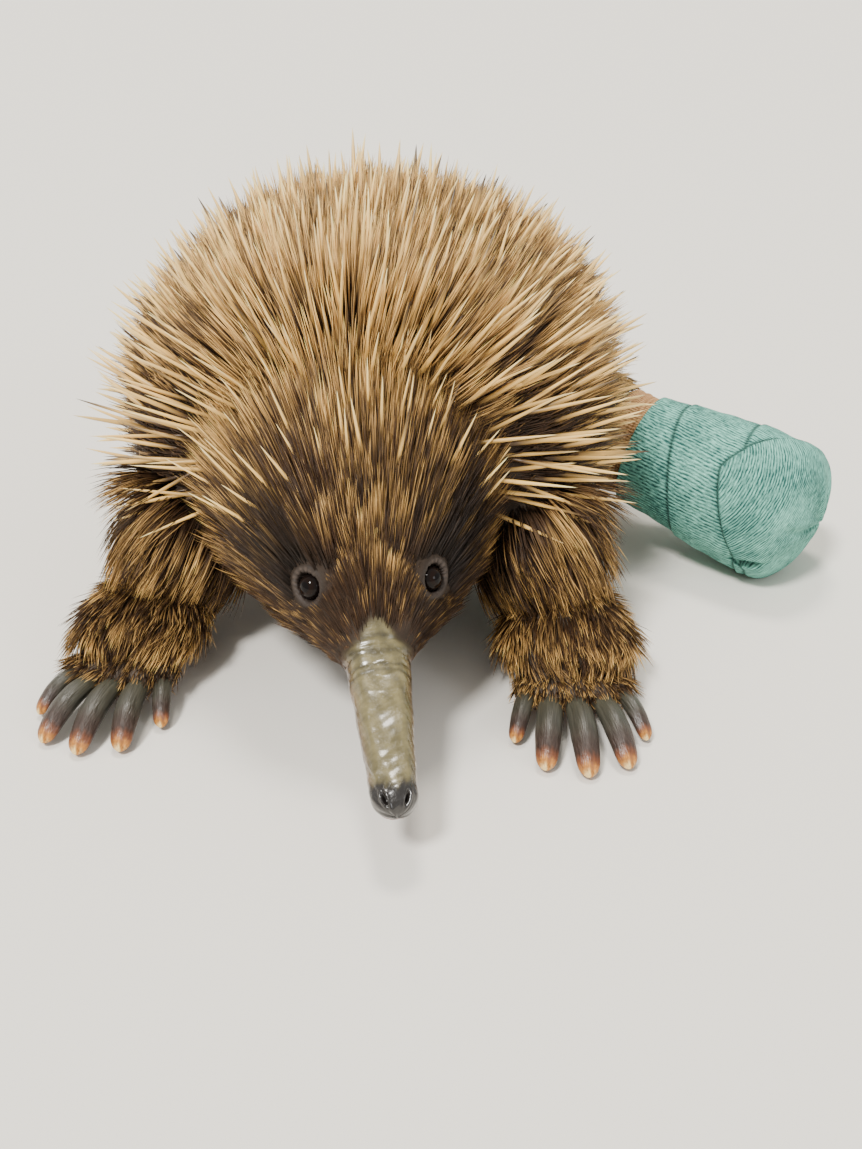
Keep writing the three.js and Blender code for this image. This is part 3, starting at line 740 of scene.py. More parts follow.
FUR_PROFILE = ((0, 0.9), (0.4, 1), (0.76, 0.66))
SPINE_PROFILE = ((0, 0.7), (0.22, 1), (0.52, 1), (0.8, 0.6), (0.94, 0.24))
TAIL_PROFILE = ((0, 0.5), (0.18, 0.82), (0.4, 1), (0.7, 0.7), (0.92, 0.22))
FUR_SIDES = 3
SPINE_SIDES = 6
LOWEST = 0.5  # of any hair above the floor
PATCH = 0.003  # width of a hair's own patch on the unwrap of the skin
TILES = {
    "torso": (0, 0), "face": (0.5, 0), "tail": (0.5, 0.25),
    "fore_left": (0.75, 0), "fore_right": (0.75, 0.25),
    "arm_left": (0, 0.5), "arm_right": (0.25, 0.5), "thigh_right": (0.5, 0.5), "thigh_left": (0.75, 0.5),
    "hand_left": (0, 0.75), "hand_right": (0.25, 0.75), "foot": (0.5, 0.75),
}
TORSO_TILE, SMALL_TILE = 0.48, 0.23
draws = np.random.default_rng(71)


def scatter(form, count, reach, density=None):
    """Roots spread evenly over part of a form, as distances and angles."""
    tries = count * 8
    t = draws.uniform(reach[0], reach[1], tries)
    angle = np.radians(draws.uniform(reach[2], reach[3], tries))
    step, turn = 0.3, 0.02
    one = form.surface(t + step, angle) - form.surface(t - step, angle)
    two = form.surface(t, angle + turn) - form.surface(t, angle - turn)
    area = np.linalg.norm(np.cross(one, two), axis=1)
    wanted = area / np.percentile(area, 99)
    if density is not None:
        wanted = wanted * density(t, angle)
    kept = np.flatnonzero(draws.random(tries) < wanted)
    if len(kept) > count:
        kept = kept[:count]
    return t[kept], angle[kept]


def strand_places(roots, ahead, bend, out, length, width, profile, sides, pull):
    """The places of strands: rings of points along each and then its tip, none of them under the floor."""
    def middle(part):
        at = roots + length[:, None] * (part * ahead + part**2 * bend)
        return at if pull is None else at + pull * part**2

    turns = np.arange(sides) / sides * TAU
    places = np.empty((len(roots), len(profile) * sides + 1, 3))
    for k, (part, share) in enumerate(profile):
        course = unit(ahead + 2 * part * bend)
        side = unit(np.cross(course, out))
        up = np.cross(side, course)
        radius = (width * share)[:, None]
        for j, turn in enumerate(turns):
            places[:, k * sides + j] = middle(part) + radius * (side * math.cos(turn) + up * math.sin(turn))
    places[:, -1] = middle(1.0)
    places[..., 2] = np.maximum(places[..., 2], LOWEST)
    return places


def strand_faces(count, rings, sides):
    """The faces of strands: quads between rings, and triangles at the tips and over the roots."""
    size = rings * sides + 1
    first = np.arange(count)[:, None] * size
    j = np.arange(sides)
    k = (j + 1) % sides
    quads = []
    for start in range(0, (rings - 1) * sides, sides):
        low, high = first + start, first + start + sides
        quads.append(np.stack([low + j, low + k, high + k, high + j], -1).reshape(-1, 4))
    last = first + (rings - 1) * sides
    tip = np.broadcast_to(first + size - 1, (count, sides))
    tips = np.stack([last + j, last + k, tip], -1).reshape(-1, 3)
    root = first[:, 0]
    fans = [np.stack([root, root + j + 1, root + j], -1) for j in range(1, sides - 1)]
    return [np.concatenate(quads), np.concatenate([tips, *fans])]


def strands(name, roots, ahead, bend, out, length, width, profile, sides, colours, patches, pull=None):
    """Joined strands, closed at both ends. Each leaves its root ahead and bends over. colours is a function
    of the part along a strand, and pull moves its tip."""
    rings = len(profile)
    places = strand_places(roots, ahead, bend, out, length, width, profile, sides, pull)
    obj = mesh_object(name, places.reshape(-1, 3), strand_faces(len(roots), rings, sides))
    part = np.append(np.repeat([part for part, _ in profile], sides), 1.0)
    paint(obj, colours(part))
    corner = np.append(np.tile(np.arange(sides) / sides, rings), 0.5)
    uv = patches[:, None] + PATCH * np.stack([corner, part], -1)
    loops = np.empty(len(obj.data.loops), np.int32)
    obj.data.loops.foreach_get("vertex_index", loops)
    layer = obj.data.uv_layers.new(name="OFBake")
    layer.data.foreach_set("uv", uv.reshape(-1, 2)[loops].astype(np.float32).ravel())
    return obj


def patch_at(form, t, angle, name):
    """Where a root lies on the unwrap of its form's skin."""
    size = TORSO_TILE if form is TORSO else SMALL_TILE
    share = (t - form.first) / (form.last - form.first)
    return np.array(TILES[name]) + size * np.stack([angle % TAU / TAU, share], -1)


EYE_CLEAR = 5.7  # from the middle of an eye to the fur
FUR_CLEAR, SPINE_CLEAR = 1.5, 16  # from the bandage to the coat
BODY_FORMS = [TORSO, FACE, TAIL, *ARMS.values(), *HANDS.values(), THIGH_RIGHT, FOOT, THIGH_LEFT, CUFF, WRAP]
EYE_SPOTS = [on_face(side, EYE_ALONG, EYE_ANGLE) for side in (LEFT, RIGHT)]
EYES = [place - out * 0.5 for place, _, out in EYE_SPOTS]
EARS = [on_face(side, EAR_ALONG, EAR_ANGLE)[0] for side in (LEFT, RIGHT)]


def blocked(form, roots, middles, tips, clear):
    """Which hairs grow inside another part, or lie over an eye or an ear, or nearer than a clear distance to
    the bandage."""
    bad = np.zeros(len(roots), bool)
    for other in BODY_FORMS:
        if other is not form:
            bad |= other.inside(roots, 0.5)
    for other in (CUFF, WRAP):
        for part in (0, 0.5, 1):
            bad |= other.inside(middles * (1 - part) + tips * part, -clear)
    for eye in EYES:
        for part in (0, 0.35, 0.7, 1):
            bad |= np.linalg.norm(middles * (1 - part) + tips * part - eye, axis=1) < EYE_CLEAR
        bad |= np.linalg.norm(roots - eye, axis=1) < EYE_CLEAR
    for ear in EARS:
        bad |= np.linalg.norm(roots - ear, axis=1) < EAR_RADIUS
    return bad


def lie_of(form, t, angle, flow):
    """The direction out of the skin and the way a coat lies: a share along the form and a share down it.
    Where the torso closes at its end, the coat turns down instead of running together on one point."""
    along, out = form.frame(t, angle)
    down = np.array([0, 0, -1.0]) - out * -out[:, 2:]
    closing = (form is TORSO) * smoothstep(0.35, 0.9, out @ form.along)[:, None]
    return out, unit(along * flow[0] * (1 - closing) + down * (flow[1] + closing))


def leaning(out, lie, degrees):
    """The direction that leans from straight out towards the lie of the coat."""
    over = np.radians(degrees)[:, None]
    return out * np.cos(over) + lie * np.sin(over)


def swayed(lie, out, degrees):
    """The lie of the coat turned about the direction out."""
    turn = np.radians(degrees)[:, None]
    return lie * np.cos(turn) + np.cross(out, lie) * np.sin(turn)


def clumps(roots, spread):
    """The nearest clump of each root. Clumps are roots themselves, about a spread apart."""
    picked = np.arange(0, len(roots), max(1, spread))
    tree = KDTree(len(picked))
    for k, i in enumerate(picked):
        tree.insert(Vector(roots[i]), k)
    tree.balance()
    return picked[[tree.find(Vector(root))[1] for root in roots]]


# The root and middle colours are the hair's own brown, darkened further as painted shade between the lit
# tips.
FUR_ROOT = (0.026, 0.0165, 0.0095)
FUR_MIDDLE = (0.060, 0.027, 0.010)
FUR_TIP = (0.94, 0.56, 0.18)
LARGEST_PIECE = 11500  # hairs in one joined mesh
CLUMP = 24  # hairs that lean together
SHORTEST_HAIR = 0.8


def short_of_eyes(long, roots, lie):
    """The lengths of hairs, with those that head for an eye stopped short of it."""
    for eye in EYES:
        away = roots - eye
        spare = np.maximum(np.linalg.norm(away, axis=1) - EYE_CLEAR, 0)
        long = np.where(np.sum(away * lie, axis=1) < 0, np.minimum(long, spare), long)
    return long


def fur_tones(roots, group, gold, shadow):
    """How golden the end of each hair is, and how light all of it is. A clump is much of one tone."""
    count = len(roots)
    tone = draws.normal(0, 0.13, count) + draws.normal(0, 0.17, count)[group]
    patchy = 0.12 * ripple(roots[:, 0] / 11 + roots[:, 2] / 17, roots[:, 1] / 13)
    bright = smoothstep(0.12, 0.88, gold + tone + patchy + draws.normal(0, 0.16, count))
    shade = np.clip(1 + draws.normal(0, 0.14, count) + tone, 0.45, 1.6)
    return bright, shade * (1 - shadow)


def fur_colours(bright, shade):
    """The colours of hairs at parts along them: dark roots, partly the hair's own brown and partly painted
    shade deep in the coat, and golden ends on the bright ones.
    """
    def colours(part):
        # Painted shade over the hair's own brown: darker towards the root.
        base = mixed(FUR_ROOT, FUR_MIDDLE, smoothstep(0, 0.55, part))[None]
        lit = bright[:, None] * smoothstep(0.45, 1, part)[None]
        body = mixed(np.broadcast_to(base, (len(bright), len(part), 3)), FUR_TIP, lit)
        return np.clip(body * shade[:, None, None], 0, 1)

    return colours


def constant(value):
    """A function of the distance and angle that is the same all over a form."""
    def held(t, angle):
        return np.full(t.shape, float(value))

    return held


NONE = constant(0)


def fur(
    name, form, unwrap, count, reach, length, lean, width, flow, gold, density=None,
    pull=0.3, curl=0.2, tousle=1.0, shadow=NONE, sweep=NONE,
):
    """A coat of fine hairs over part of a form: count is their number at most, and reach is the range of
    distances and angles that they grow on. length, lean, width, gold, density, shadow and sweep are
    functions of the distance and angle: gold is the share of golden ends, shadow is how much darker hairs
    are, and sweep bends them along the form. flow is their lie along the form and down it. pull draws the
    tips of a clump together, curl bends hairs to the skin, and tousle turns them out of line."""
    t, angle = scatter(form, count, reach, density)
    out, lie = lie_of(form, t, angle, flow)
    roots = form.skin(t, angle, np.full(len(t), -0.4))
    group = clumps(roots, CLUMP)
    lie = swayed(lie, out, tousle * (draws.normal(0, 5, len(t)) + draws.normal(0, 6, len(t))[group]))
    tilt = tousle * (draws.normal(0, 6, len(t)) + draws.normal(0, 5, len(t))[group])
    ahead = leaning(out, lie, lean(t, angle) + tilt)
    bend = (lie * 0.5 - out * 0.5) * curl * draws.uniform(0.4, 1.4, (len(t), 1))
    bend = bend + sweep(t, angle)[:, None] * (form.along - ahead)
    long = short_of_eyes(length(t, angle) * draws.uniform(0.72, 1.12, len(t)), roots, lie)
    tips = roots + long[:, None] * (ahead + bend)
    drawn = pull * (tips[group] - tips)
    drawn *= np.minimum(1, 0.5 * long / np.maximum(np.linalg.norm(drawn, axis=1), 1e-6))[:, None]
    middles = roots + long[:, None] * (0.5 * ahead + 0.25 * bend) + 0.25 * drawn
    free = ~blocked(form, roots, middles, tips + drawn, FUR_CLEAR) & (long > SHORTEST_HAIR)
    bright, shade = fur_tones(roots, group, gold(t, angle), shadow(t, angle))
    wide = width(t, angle) * draws.uniform(0.75, 1.2, len(t)) / 2
    patches = patch_at(form, t, angle, unwrap)
    chosen = np.flatnonzero(free)
    chosen = chosen[np.argsort(angle[chosen], kind="stable")]
    for number in range(math.ceil(len(chosen) / LARGEST_PIECE)):
        own = chosen[number * LARGEST_PIECE:(number + 1) * LARGEST_PIECE]
        piece = strands(
            f"{name}_{number + 1}", roots[own], ahead[own], bend[own], out[own], long[own], wide[own],
            FUR_PROFILE, FUR_SIDES, fur_colours(bright[own], shade[own]), patches[own], drawn[own],
        )
        dressed(piece, "fur", fur_material)


def spread_out(places, apart):
    """Which of many places to keep so that no two are nearer than a distance."""
    kept = []
    held = np.empty((0, 3))
    for i, place in enumerate(places):
        if not len(held) or np.min(np.sum((held - place) ** 2, axis=1)) > apart[i] ** 2:
            kept.append(i)
            held = np.vstack([held, place])
    return np.array(kept)


SPINE_BASE = (0.085, 0.048, 0.022)
SPINE_CREAM = (0.86, 0.53, 0.15)
SPINE_PALE = (0.94, 0.74, 0.36)
SPINE_DARK = (0.055, 0.033, 0.020)
TAIL_YELLOW = (0.50, 0.30, 0.085)
TAIL_ORANGE = (0.90, 0.46, 0.15)


def spine_colours(root, warmest, warm, is_dark, tone):
    """The colours of spines at parts along them. A share of them are dark at their ends, not pale."""
    def colours(part):
        shape = (len(warm), len(part))
        body = mixed(SPINE_CREAM, warmest, warm)[:, None]
        rooted = np.broadcast_to(smoothstep(0.2, 0.6, part), shape)
        body = mixed(np.broadcast_to(root, (*shape, 3)), body, rooted)
        body = mixed(body, SPINE_PALE, ~is_dark * smoothstep(0.7, 1, part)[None])
        body = mixed(body, SPINE_DARK, is_dark * smoothstep(0.62, 0.86, part)[None])
        return np.clip(body * tone, 0, 1)

    return colours


def spines(
    name, form, unwrap, tries, reach, apart, length, lean, width, flow, dark, colours, profile, sides,
):
    """Spines over part of a form, spread an even distance apart. dark is the share with dark ends, and
    colours are those of the root and of the warmest spines."""
    t, angle = scatter(form, tries, reach)
    kept = spread_out(form.surface(t, angle), np.broadcast_to(apart(t, angle), t.shape))
    t, angle = t[kept], angle[kept]
    out, lie = lie_of(form, t, angle, flow)
    lie = swayed(lie, out, draws.normal(0, 9, len(t)))
    ahead = leaning(out, lie, lean(t, angle) + draws.normal(0, 6, len(t)))
    bend = (lie * 0.04 - out * 0.04) * draws.uniform(-0.6, 1, (len(t), 1))
    roots = form.skin(t, angle, np.full(len(t), -2.0))
    long = length(t, angle) * draws.uniform(0.86, 1.12, len(t))
    tips = roots + long[:, None] * (ahead + bend)
    middles = (roots + tips) / 2
    free = ~blocked(form, roots, middles, tips, SPINE_CLEAR) & (tips[:, 2] > 2)
    own = np.flatnonzero(free)
    tone = draws.normal(1, 0.1, len(own))[:, None, None]
    is_dark = (draws.random(len(own)) < dark)[:, None]
    warm = draws.random(len(own))

    wide = width(t, angle)[own] * draws.uniform(0.8, 1.15, len(own))
    patches = patch_at(form, t, angle, unwrap)[own]
    piece = strands(
        name, roots[own], ahead[own], bend[own], out[own], long[own], wide / 2, profile, sides,
        spine_colours(*colours, warm, is_dark, tone), patches,
    )
    dressed(piece, "spines", spine_material)


# Materials


class Look:
    """A material, and the nodes of its shader."""

    def __init__(self, name):
        self.material = bpy.data.materials.new(name)
        self.material.use_nodes = True
        self.nodes = self.material.node_tree.nodes
        self.links = self.material.node_tree.links
        self.principled = self.nodes["Principled BSDF"]

    def put(self, socket, value):
        """Gives a socket a number, a colour, or what comes out of another node."""
        if isinstance(value, bpy.types.NodeSocket):
            self.links.new(value, socket)
        else:
            socket.default_value = (*value, 1) if socket.type == "RGBA" else value

    def set(self, name, value):
        self.put(self.principled.inputs[name], value)

    def read(self, name, output="Fac"):
        """What an attribute of the mesh holds."""
        node = self.nodes.new("ShaderNodeAttribute")
        node.attribute_name = name
        return node.outputs[output]

    def noise(self, scale, detail=4.0, vector=None):
        node = self.nodes.new("ShaderNodeTexNoise")
        self.put(node.inputs["Scale"], scale)
        self.put(node.inputs["Detail"], detail)
        self.put(node.inputs["Roughness"], 0.55)
        if vector is None:
            vector = self.nodes.new("ShaderNodeTexCoord").outputs["Object"]
        self.put(node.inputs["Vector"], vector)
        return node.outputs["Fac"]

    def maths(self, operation, *values, clamp=False):
        node = self.nodes.new("ShaderNodeMath")
        node.operation = operation
        node.use_clamp = clamp
        for socket, value in zip(node.inputs, values):
            self.put(socket, value)
        return node.outputs[0]

    def mix(self, factor, a, b, kind="MIX"):
        node = self.nodes.new("ShaderNodeMix")
        node.data_type = "RGBA"
        node.blend_type = kind
        self.put(node.inputs["Factor"], factor)
        for key, value in (("A", a), ("B", b)):
            self.put(next(s for s in node.inputs if s.name == key and s.type == "RGBA"), value)
        return next(s for s in node.outputs if s.type == "RGBA")

    def bump(self, height, strength, distance):
        node = self.nodes.new("ShaderNodeBump")
        self.put(node.inputs["Strength"], strength)
        self.put(node.inputs["Distance"], distance)
        self.put(node.inputs["Height"], height)
        self.set("Normal", node.outputs["Normal"])


def painted_material(name, roughness, specular):
    look = Look(name)
    look.set("Base Color", look.read("paint", "Color"))
    look.set("Roughness", roughness)
    look.set("Specular IOR Level", specular)
    return look.material


def skin_material():
    """Bare skin: mottled, and glossier where it is wet."""
    look = Look("skin")
    fine = look.noise(900)
    mottle = look.noise(260, 5)
    patchy = look.maths("MULTIPLY_ADD", mottle, 0.9, 0.55)
    look.set("Base Color", look.mix(1.0, look.read("paint", "Color"), patchy, "MULTIPLY"))
    wet = look.read("wet")
    dry = look.maths("MULTIPLY_ADD", wet, -0.62, 0.82)
    uneven = look.maths("MULTIPLY_ADD", mottle, 0.3, -0.15)
    look.set("Roughness", look.maths("ADD", dry, uneven))
    look.set("Specular IOR Level", 0.25)
    look.set("Coat Weight", look.maths("MULTIPLY_ADD", wet, 2.2, -1.15, clamp=True))
    look.set("Coat Roughness", 0.18)
    look.bump(look.maths("MULTIPLY_ADD", mottle, 1.6, fine), 0.55, 0.0005)
    return look.material


def claw_material():
    """Horn with fine lines along it, which are duller than the rest."""
    look = Look("claw")
    lines = look.noise(1.0, 3, look.read("grain", "Vector"))
    shade = look.maths("MULTIPLY_ADD", lines, 1.7, 0.2)
    look.set("Base Color", look.mix(1.0, look.read("paint", "Color"), shade, "MULTIPLY"))
    look.set("Roughness", look.maths("MULTIPLY_ADD", lines, 0.5, 0.12))
    look.set("Specular IOR Level", 0.5)
    look.bump(lines, 0.6, 0.0005)
    return look.material


def cloth_material(name, dark, light, period, stitch):
    """Knitted bandage: ribs a period apart, broken into stitches, with painted shade in the grooves and
    along the edges and painted highlight on the ribs. The cloth attribute holds millimetres along the ribs
    and across them."""
    look = Look(name)
    cloth = look.read("cloth", "Vector")
    split = look.nodes.new("ShaderNodeSeparateXYZ")
    look.put(split.inputs[0], cloth)
    crinkle = look.noise(0.10, 3, cloth)
    across = look.maths("MULTIPLY_ADD", crinkle, 2.4, split.outputs["Y"])
    ribs = look.maths("SINE", look.maths("MULTIPLY", across, TAU / period))
    stretched = look.nodes.new("ShaderNodeVectorMath")
    stretched.operation = "MULTIPLY"
    look.put(stretched.inputs[0], cloth)
    look.put(stretched.inputs[1], (1 / stitch, 1.6 / period, 1))
    stitches = look.noise(1.0, 2, stretched.outputs[0])
    fuzz = look.noise(1.4, 3, cloth)
    height = look.maths("MULTIPLY_ADD", stitches, 7.0, ribs)
    height = look.maths("MULTIPLY_ADD", fuzz, 1.6, height)
    wear = look.noise(0.045, 3, cloth)
    # Painted shade and painted highlight: the colour runs from the dark copy in the low parts of the ribs,
    # stitches and fuzz to the light copy on the high parts.
    level = look.maths("MULTIPLY_ADD", height, 0.24, -1.12)
    level = look.maths("MULTIPLY_ADD", wear, 0.9, level, clamp=True)
    # Painted shade along the edges, from the edge attribute.
    edge = look.maths("MULTIPLY", look.read("edge"), 0.85)
    shaded = tuple(0.35 * value for value in dark)
    look.set("Base Color", look.mix(edge, look.mix(level, dark, light), shaded))
    look.set("Roughness", 0.85)
    look.set("Specular IOR Level", 0.25)
    look.bump(height, 0.5, 0.0004)
    return look.material


fur_material = painted_material("fur", 0.5, 0.35)
spine_material = painted_material("spine", 0.36, 0.45)


def dressed(obj, slot, material, *nodes):
    """Gives a piece its material, ties it to the animal's body and hides the imported parts that it
    replaces.
    """
    obj.data.materials.clear()
    obj.data.materials.append(material)
    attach(obj, "root")
    if nodes:
        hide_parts(*nodes)
    return obj


skin = build_skin()
paint_skin(skin)
dressed(
    skin, "paw", skin_material(), "torso", "head", "beak", "tail", "vent", "arm_left", "arm_right",
    "hand_left", "hand_right", "thigh_left", "thigh_right", "foot_right",
)

# Eyes: a dark iris round a black pupil, under one wet surface.

PUPIL_RADIUS = 1.9
IRIS_RADIUS = 3.6
EYE_BLACK = (0.004, 0.003, 0.003)
EYE_BROWN = (0.009, 0.0045, 0.003)
EYE_EDGE = (0.006, 0.004, 0.0035)


def build_eye(side_name, side, material):
    """An eye, whose pupil and iris face straight out of the head."""
    at, along, out = on_face(side, EYE_ALONG, EYE_ANGLE)
    across = np.cross(along, out)
    middle = at - out * EYE_DEPTH
    part, turn = np.meshgrid(np.linspace(0.05, math.pi - 0.05, 40), np.arange(48) / 48 * TAU, indexing="ij")
    course = np.cos(turn)[..., None] * along + np.sin(turn)[..., None] * across
    ball = np.sin(part)[..., None] * course - np.cos(part)[..., None] * out
    eye = mesh_object(f"eyeball_{side_name}", *loft(middle + EYE_RADIUS * ball))
    rel = places_of(eye.data) - middle
    off = np.linalg.norm(rel - np.outer(rel @ out, out), axis=1)
    brown = mixed(EYE_BLACK, EYE_BROWN, smoothstep(PUPIL_RADIUS - 0.3, PUPIL_RADIUS + 0.3, off))
    paint(eye, mixed(brown, EYE_EDGE, smoothstep(IRIS_RADIUS - 0.6, IRIS_RADIUS + 0.2, off)))
    dressed(eye, "eye", material, f"eye_{side_name}")


eye_finish = painted_material("eye", 0.04, 0.13)
build_eye("left", LEFT, eye_finish)
build_eye("right", RIGHT, eye_finish)

# Claws. The fore ones are broad spades, dark at the root and amber at the tip, and the hind ones are paler.

CLAW_STOPS = ((0, 0.45), (0.45, 0.8), (0.8, 0.91), (0.9, 0.96), (0.97, 1.02))
FORE_COLOURS = (
    (0.060, 0.060, 0.042),
    (0.042, 0.040, 0.030),
    (0.036, 0.022, 0.017),
    (0.15, 0.048, 0.018),
    (0.40, 0.155, 0.022),
    (0.86, 0.63, 0.27),
)
HIND_COLOURS = (
    (0.13, 0.095, 0.055),
    (0.34, 0.23, 0.11),
    (0.44, 0.30, 0.15),
    (0.56, 0.36, 0.16),
    (0.62, 0.34, 0.11),
    (0.74, 0.50, 0.24),
)
CLAW_SUNK = 2.5  # of a claw's root in its digit


def build_claw(paw_name, number, form, digit, material):
    """A ridged claw, with colours that change from its root to its worn end."""
    length, wide, ahead = digit["length"] + CLAW_SUNK, digit["width"], digit["ahead"]
    thick = wide * CLAW_FLATNESS
    low = min(CLAW_DROP, DIGIT_HEIGHT - thick * TIP_SHARE - CLAW_MARGIN)
    start = digit["tip"] + ahead * (GAP - CLAW_SUNK)
    arch = digit["length"] * CLAW_ARCH
    rings = horn(start, ahead, length, wide, thick, CLAW_SHARES, low, arch, corners=28, count=30, keel=0.22)
    claw = mesh_object(f"nail_{paw_name}_{number}", *loft(rings))
    rel = places_of(claw.data) - start
    part = np.clip(rel @ ahead / length, 0, 1)
    aside = rel @ np.cross(ahead, UP)
    worn = part + 0.04 * ripple(aside * 2, part * 9)
    colours = HIND_COLOURS if form is FOOT else FORE_COLOURS
    shown = np.broadcast_to(colours[0], rel.shape)
    for (low_part, high_part), next_colour in zip(CLAW_STOPS, colours[1:]):
        shown = mixed(shown, next_colour, smoothstep(low_part, high_part, worn))
    paint(claw, shown)
    attribute(claw.data, "grain", np.stack([aside * 1.6, rel[:, 2] * 0.8, part * 1.5], -1), "FLOAT_VECTOR")
    dressed(claw, "claw", material, f"claw_{paw_name}_{number}")


claw_finish = claw_material()
for paw_name, (form, digits, handed) in PAWS.items():
    for number, digit in enumerate(paw(form, digits, handed), 1):
        build_claw(paw_name, number, form, digit, claw_finish)

# Bandage: turns of stretchy wrap that overlap, closed at the toes, and a tan cuff above it.

TURN_PITCH = 34
TURN_SLANT = 9
LAYER = 1.1
EDGE_WIDTH = 0.9
FOLD_TOP = 126  # distance along the leg of the highest point of the flap that closes the end
FOLD_ANGLE = math.radians(38)
FOLD_SPREAD = math.radians(78)
FOLD_DEPTH = 26
TUCK = (151, math.radians(-30))  # distance and angle of the small opening beside the flap
TUCK_SIZE = (10, 3.4)
# Shaded and lit copies of the bandage's teal and the cuff's tan, for painted shade in the grooves and
# painted highlight on the ribs.
TEAL_SHADED = (0.016, 0.085, 0.076)
TEAL_LIT = (0.31, 0.78, 0.63)
TAN_SHADED = (0.33, 0.155, 0.055)
TAN_LIT = (0.78, 0.47, 0.23)


def on_flap(t, angle):
    """How far, in millimetres, a place lies inside the edge of the flap that is folded over the toes."""
    turned = np.abs(np.arctan2(np.sin(angle - FOLD_ANGLE), np.cos(angle - FOLD_ANGLE)))
    return t - FOLD_TOP - FOLD_DEPTH * np.clip(turned / FOLD_SPREAD, 0, 1) ** 1.3


def turns_of(t, angle):
    """How many turns of the wrap have passed at a place."""
    return (t + TURN_SLANT * np.cos(angle - 2.2) + 1.5 * np.sin(2 * angle)) / TURN_PITCH


def wrap_relief(t, angle):
    """How far the wrap stands out: overlapping turns, the flap over the toes, creases and the opening."""
    part = turns_of(t, angle) % 1
    flap = smoothstep(-0.35, 0.35, on_flap(t, angle))
    rise = LAYER * (1 - part) * smoothstep(0, 0.035, part) * (1 - flap) + 1.3 * LAYER * flap
    rise += 0.28 * ripple(0.33 * t + 2 * np.sin(angle), 7 * angle) * smoothstep(82, 92, t)
    creases = np.sin(5 * angle + 0.12 * t) ** 8 + np.sin(3.5 * angle + 1.4) ** 10
    rise -= 0.8 * creases * smoothstep(154, 168, t)
    return rise - 4 * tucked(t, angle)


def tucked(t, angle):
    """How deep a place lies in the opening beside the flap, as a share."""
    aside = np.arctan2(np.sin(angle - TUCK[1]), np.cos(angle - TUCK[1])) * WRAP.table[-2, 2]
    slit = np.hypot((t - TUCK[0]) / TUCK_SIZE[0], (aside - 0.25 * (t - TUCK[0])) / TUCK_SIZE[1])
    return 1 - smoothstep(0.3, 1, slit)


def wrap_edges(t, angle):
    """Where the shade of an edge of the wrap lies."""
    turn = (turns_of(t, angle) + 0.5) % 1 - 0.5
    turn_edge = bump(turn * TURN_PITCH, -0.3, EDGE_WIDTH) * (on_flap(t, angle) < 0)
    return np.maximum(turn_edge, np.maximum(bump(on_flap(t, angle), -0.4, EDGE_WIDTH), tucked(t, angle)))


def cuff_hem_shade(t, angle):
    """Where painted shade lies along the doubled hem of the cuff, the same all round."""
    # Painted shade: two dark lines along the hem.
    return 0.6 * (bump(t, WRAP_START - 2.4, 0.4) + bump(t, WRAP_START - 4.4, 0.4))


def cuff_relief(t, angle):
    """How far the cuff stands out: its rolled edges and a fine unevenness."""
    hem = bump(t, CUFF_START + 1.6, 1.3) + bump(t, CUFF_START + 5.8, 1.0)
    hem += 0.7 * bump(t, WRAP_START - 1.2, 1.2)
    return 0.55 * hem + 0.12 * ripple(0.8 * t, 5 * angle)


def bandage(name, form, relief, edges, step, corners, slot, material, node):
    """A piece of the bandage, with the place of each point on its cloth and the shade of its edges."""
    obj = mesh_object(name, *form_surface(form, step, corners, relief))
    rel = places_of(obj.data) - form.origin
    t = rel @ form.along
    angle = np.arctan2(rel @ form.up, rel @ form.side)
    girth = form.row(t)[:, 2:].mean(axis=1)
    around = angle * girth
    facing = form.side * math.cos(FOLD_ANGLE) + form.up * math.sin(FOLD_ANGLE)
    turned = (on_flap(t, angle) > 0) & (form is WRAP)
    over = 1.2 * (t - rel @ facing)
    crosswise = rel @ np.cross(facing, form.along)
    cloth = np.stack([np.where(turned, crosswise, t), np.where(turned, over, around), turned * 40.0], -1)
    attribute(obj.data, "cloth", cloth, "FLOAT_VECTOR")
    attribute(obj.data, "edge", edges(t, angle))
    rest_on_floor(obj)
    return dressed(obj, slot, material, node)


teal_cloth = cloth_material("bandage", TEAL_SHADED, TEAL_LIT, 1.6, 3.4)
tan_cloth = cloth_material("cuff", TAN_SHADED, TAN_LIT, 1.5, 1.6)
wrap = bandage("wrap", WRAP, wrap_relief, wrap_edges, 0.7, 240, "bandage", teal_cloth, "bandage_wrap")
bandage("cuff", CUFF, cuff_relief, cuff_hem_shade, 0.5, 180, "cuff", tan_cloth, "bandage_cuff")

# Fur. On the head it is combed back from the beak, short round the eyes and long on the crown.


def by_distance(stops, values):
    """A function of the distance and angle that follows values at distances along a form."""
    def followed(t, angle):
        return np.interp(t, stops, values)

    return followed


def by_turn(stops, values):
    """A function of the distance and angle that follows values at angles from a form's top."""
    def followed(t, angle):
        return np.interp(top_of(angle), stops, values)

    return followed


def face_length(t, angle):
    combed = 1 + 0.5 * bump(top_of(angle), 0, 0.5) * bump(t, 78, 12)
    return combed * np.interp(t, [10, 34, 52, 62, 74, 84, 92], [39, 38, 32, 23, 14, 10, 5])


def face_gold(t, angle):
    brow = 0.26 * bump(top_of(angle), 0, 0.45) * bump(t, 66, 20)
    return np.interp(t, [10, 30, 50, 66, 90], [0.82, 0.42, 0.16, 0.08, 0.07]) + brow


def face_shadow(t, angle):
    return 0.78 * bump(t, 66, 19) * bump(top_of(angle), 1, 0.55)


def face_density(t, angle):
    return np.interp(t, [10, 52, 64, 92], [0.28, 0.6, 1, 1]) * (1 - beak_bare(t - 1.5, top_of(angle)))


# Where the bandaged leg comes out of the coat, seen from in front.
LEG_OUT = THIGH_LEFT.origin + THIGH_LEFT.along * 50 + np.array((-2, -10, 8))


